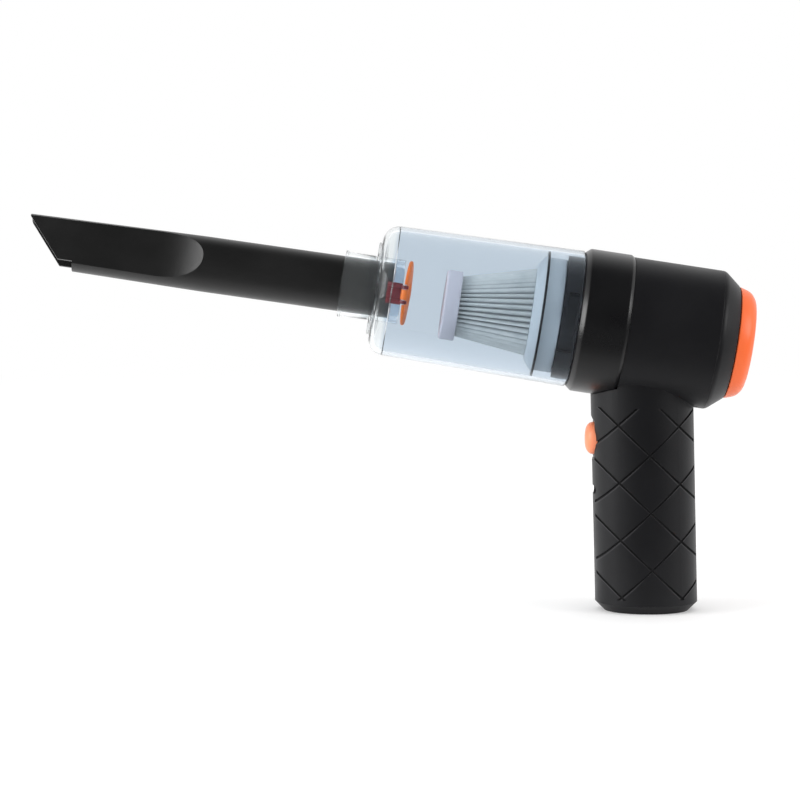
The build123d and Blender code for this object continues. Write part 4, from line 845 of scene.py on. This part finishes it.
paper = lofted(PLEAT_STATIONS, pleat_ring, 2 * FOLDS)
fold_value = paper.verts.layers.float.new("fold")
order = paper.verts.layers.int["order"]
for corner in paper.verts:
    corner[fold_value] = corner[order] % 2
bmesh.ops.recalc_face_normals(paper, faces=paper.faces[:])
print("paper points", len(paper.verts))
paper_piece = finish_piece(paper, "pleated_paper", "filter", "filter_paper", "filter_pleats",
                           sharp=PAPER_SHARP)
thickness = paper_piece.modifiers.new("paper thickness", "SOLIDIFY")
thickness.thickness = PAPER_THICK
thickness.offset = -1.0

# %% [markdown]
# A dished cap closes the small end of the pleats, and a thin flange spreads from the large end to a
# rubber ring that seals against the cup. These three are turned pieces again.

# %% Filter cap, base and seal
LID_STEPS = 72
FILTER_SAG = Vector((-SAG, 0, 0))
LID_OUTLINE = [(-85.9, 0, 0), (-85.9, 10.6, 0.5), (-86.5, 11.6, 0.5), (-86.5, 14.7, 1.1), (-79.9, 14.7, 0.6),
               (-79.9, 13.1, 0.3), (-84.5, 13.1, 0.3), (-84.5, 0, 0)]
BASE_OUTLINE = [(-50.0, 14.1, 0.3), (-50.0, 20.3, 1.5), (-46.2, 24.9, 0.2), (-45.2, 24.9, 0.2),
                (-45.2, 23.95, 0), (-37.9, 23.95, 0.4), (-37.9, 22.55, 0.3), (-46.2, 22.55, 0),
                (-48.5, 18.8, 0), (-48.5, 14.1, 0.3)]
SEAL_OUTLINE = [(-46.2, 24.95, 0.1), (-46.2, 26.5, 0.35), (-45.2, 26.5, 0.35), (-45.2, 24.95, 0.1)]

lid = turned(LID_OUTLINE, steps=LID_STEPS)
bmesh.ops.translate(lid, verts=lid.verts[:], vec=FILTER_SAG)
finish_piece(lid, "filter_lid", "filter", "filter_plastic", "filter_end_cap")
flange_finish = moulded("filter flange", rgb(178, 186, 192), rgb(187, 195, 200), rgb(222, 226, 229),
                        (0.4, 0.5))
finish_piece(turned(BASE_OUTLINE), "filter_flange", "filter", "filter_plastic", "filter_base",
             finish=flange_finish)
finish_piece(turned(SEAL_OUTLINE), "seal_ring", "filter", "black_rubber", "filter_gasket")

# %% [markdown]
# ## Collar and bezel
# A black collar closes the joint between cup and barrel. It is glossier than the barrel. Its front edge
# is a broad chamfer that takes a long bright line from the lamp at the left, and a finer one runs round
# its rear edge. The bezel at the rear is one broad bevel with a rounded crest. Both are turned.

# %% Collar and bezel
COLLAR_OUTLINE = [(-30.3, 26.05, 0.2), (-30.3, 28.3, 0.3), (-28.0, 30.19, 0.4), (-10.9, 30.19, 0.3),
                  (-9.5, 29.3, 0.2), (-9.5, 28.25, 0), (-26.0, 28.25, 0), (-26.0, 26.05, 0)]
BEZEL_OUTLINE = [(23.1, 21.6, 0), (23.1, 27.25, 0), (28.1, 27.25, 0), (28.1, 29.4, 0.1), (29.3, 29.4, 1.05),
                 (36.0, 23.9, 0.5), (36.0, 21.6, 0.4)]
collar_finish = moulded("collar black", rgb(12, 12, 14), rgb(16, 16, 18), rgb(60, 60, 62), (0.26, 0.32))
finish_piece(turned(COLLAR_OUTLINE), "collar_band", "housing", "black_housing", "collar_ring",
             finish=collar_finish)
finish_piece(turned(BEZEL_OUTLINE), "bezel_band", "housing", "black_housing", "rear_bezel")

# %% [markdown]
# ## The exhaust cap
# The orange cap plugs into the bezel. Its flat end has twenty radial slots. Cutting them one by one would
# be slow and rough, so one eighteen-degree slice is spun, a slot is opened through it by deleting a patch
# of the outer and inner faces and bridging the two holes, and the slice is then repeated round the axis.

# %% Exhaust cap
SLOTS = 20
SLICE = 2 * pi / SLOTS
SLICE_STEPS = 4
SLOT_SPAN = (7.5, 16.5)
SLOT_HALF = 0.85
END_WALL = 41.0              # the end wall with the slots lies past this station
MIDDLE_LINE = 0.1            # corners this close to a slice's middle line stay on it
CAP_OUTLINE = [(43.55, 0, 0), (43.55, SLOT_SPAN[0], 0), (43.55, SLOT_SPAN[1], 0), (43.55, 19.1, 1.2),
               (41.6, 21.7, 0.9), (39.7, 22.7, 0.9), (36.3, 23.7, 0.5), (36.3, 21.3, 0), (31.7, 21.3, 0.3),
               (31.7, 19.5, 0.3), (41.75, 19.5, 0.6), (41.75, SLOT_SPAN[1], 0), (41.75, SLOT_SPAN[0], 0),
               (41.75, 0, 0)]

cap = turned(CAP_OUTLINE, angle=SLICE, steps=SLICE_STEPS)
bmesh.ops.rotate(cap, verts=cap.verts[:], cent=(0, 0, 0), matrix=Matrix.Rotation(-SLICE / 2, 3, "Z"))
window = []
for face in cap.faces:
    centre = face.calc_center_median()
    in_slot = SLOT_SPAN[0] < centre.x < SLOT_SPAN[1] and abs(centre.y) < centre.x * SLICE / 4
    if in_slot and centre.z > END_WALL:
        window.append(face)
corners = {corner for face in window for corner in face.verts}
rims = {edge for face in window for edge in face.edges
        if sum(neighbour in window for neighbour in edge.link_faces) == 1}
bmesh.ops.delete(cap, geom=window, context="FACES")
for corner in corners:
    if abs(corner.co.y) > MIDDLE_LINE:
        corner.co.y = SLOT_HALF if corner.co.y > 0 else -SLOT_HALF
bridge = bmesh.ops.bridge_loops(cap, edges=[edge for edge in rims if edge.is_valid])
print("slot walls", len(bridge["faces"]))
bmesh.ops.spin(cap, geom=cap.verts[:] + cap.edges[:] + cap.faces[:], cent=(0, 0, 0), axis=(0, 0, 1),
               angle=2 * pi - SLICE, steps=SLOTS - 1, use_merge=False, use_normal_flip=False,
               use_duplicate=True)
tidy(cap)
finish_piece(cap, "exhaust_lid", "exhaust_cap", "orange_plastic", "exhaust_cap")

# %% [markdown]
# ## The button
# The round power button is a paler orange, with a gently domed face, a skirt that is held behind the
# wall and a stem for the switch. It is turned about its own axis, which lies along X in the handle's front.

# %% Power button
BUTTON_HEIGHT = 0.073
BUTTON_STEPS = 64
BUTTON_PLACE = frame_of((0, 0, BUTTON_HEIGHT), (0, 0, 1), (0, -1, 0), (1, 0, 0))
BUTTON_OUTLINE = [(-26.48, 0, 0), (-26.4, 2.6, 0.8), (-26.0, 4.6, 0.8), (-25.0, 6.2, 0.8), (-23.6, 6.9, 0.8),
                  (-17.4, 6.9, 0), (-17.4, 8.3, 0.2), (-16.6, 8.3, 0.2), (-16.6, 5.3, 0.2), (-23.2, 5.3, 0.2),
                  (-23.2, 1.6, 0.2), (-17.0, 1.6, 0.2), (-17.0, 0, 0)]
button_finish = moulded("button orange", rgb(255, 146, 104), rgb(255, 154, 112), rgb(255, 180, 145),
                        (0.38, 0.46), grain_scale=ORANGE_GRAIN)
finish_piece(turned(BUTTON_OUTLINE, steps=BUTTON_STEPS), "push_button", "power_button", "orange_plastic",
             "power_button", place=BUTTON_PLACE, finish=button_finish)
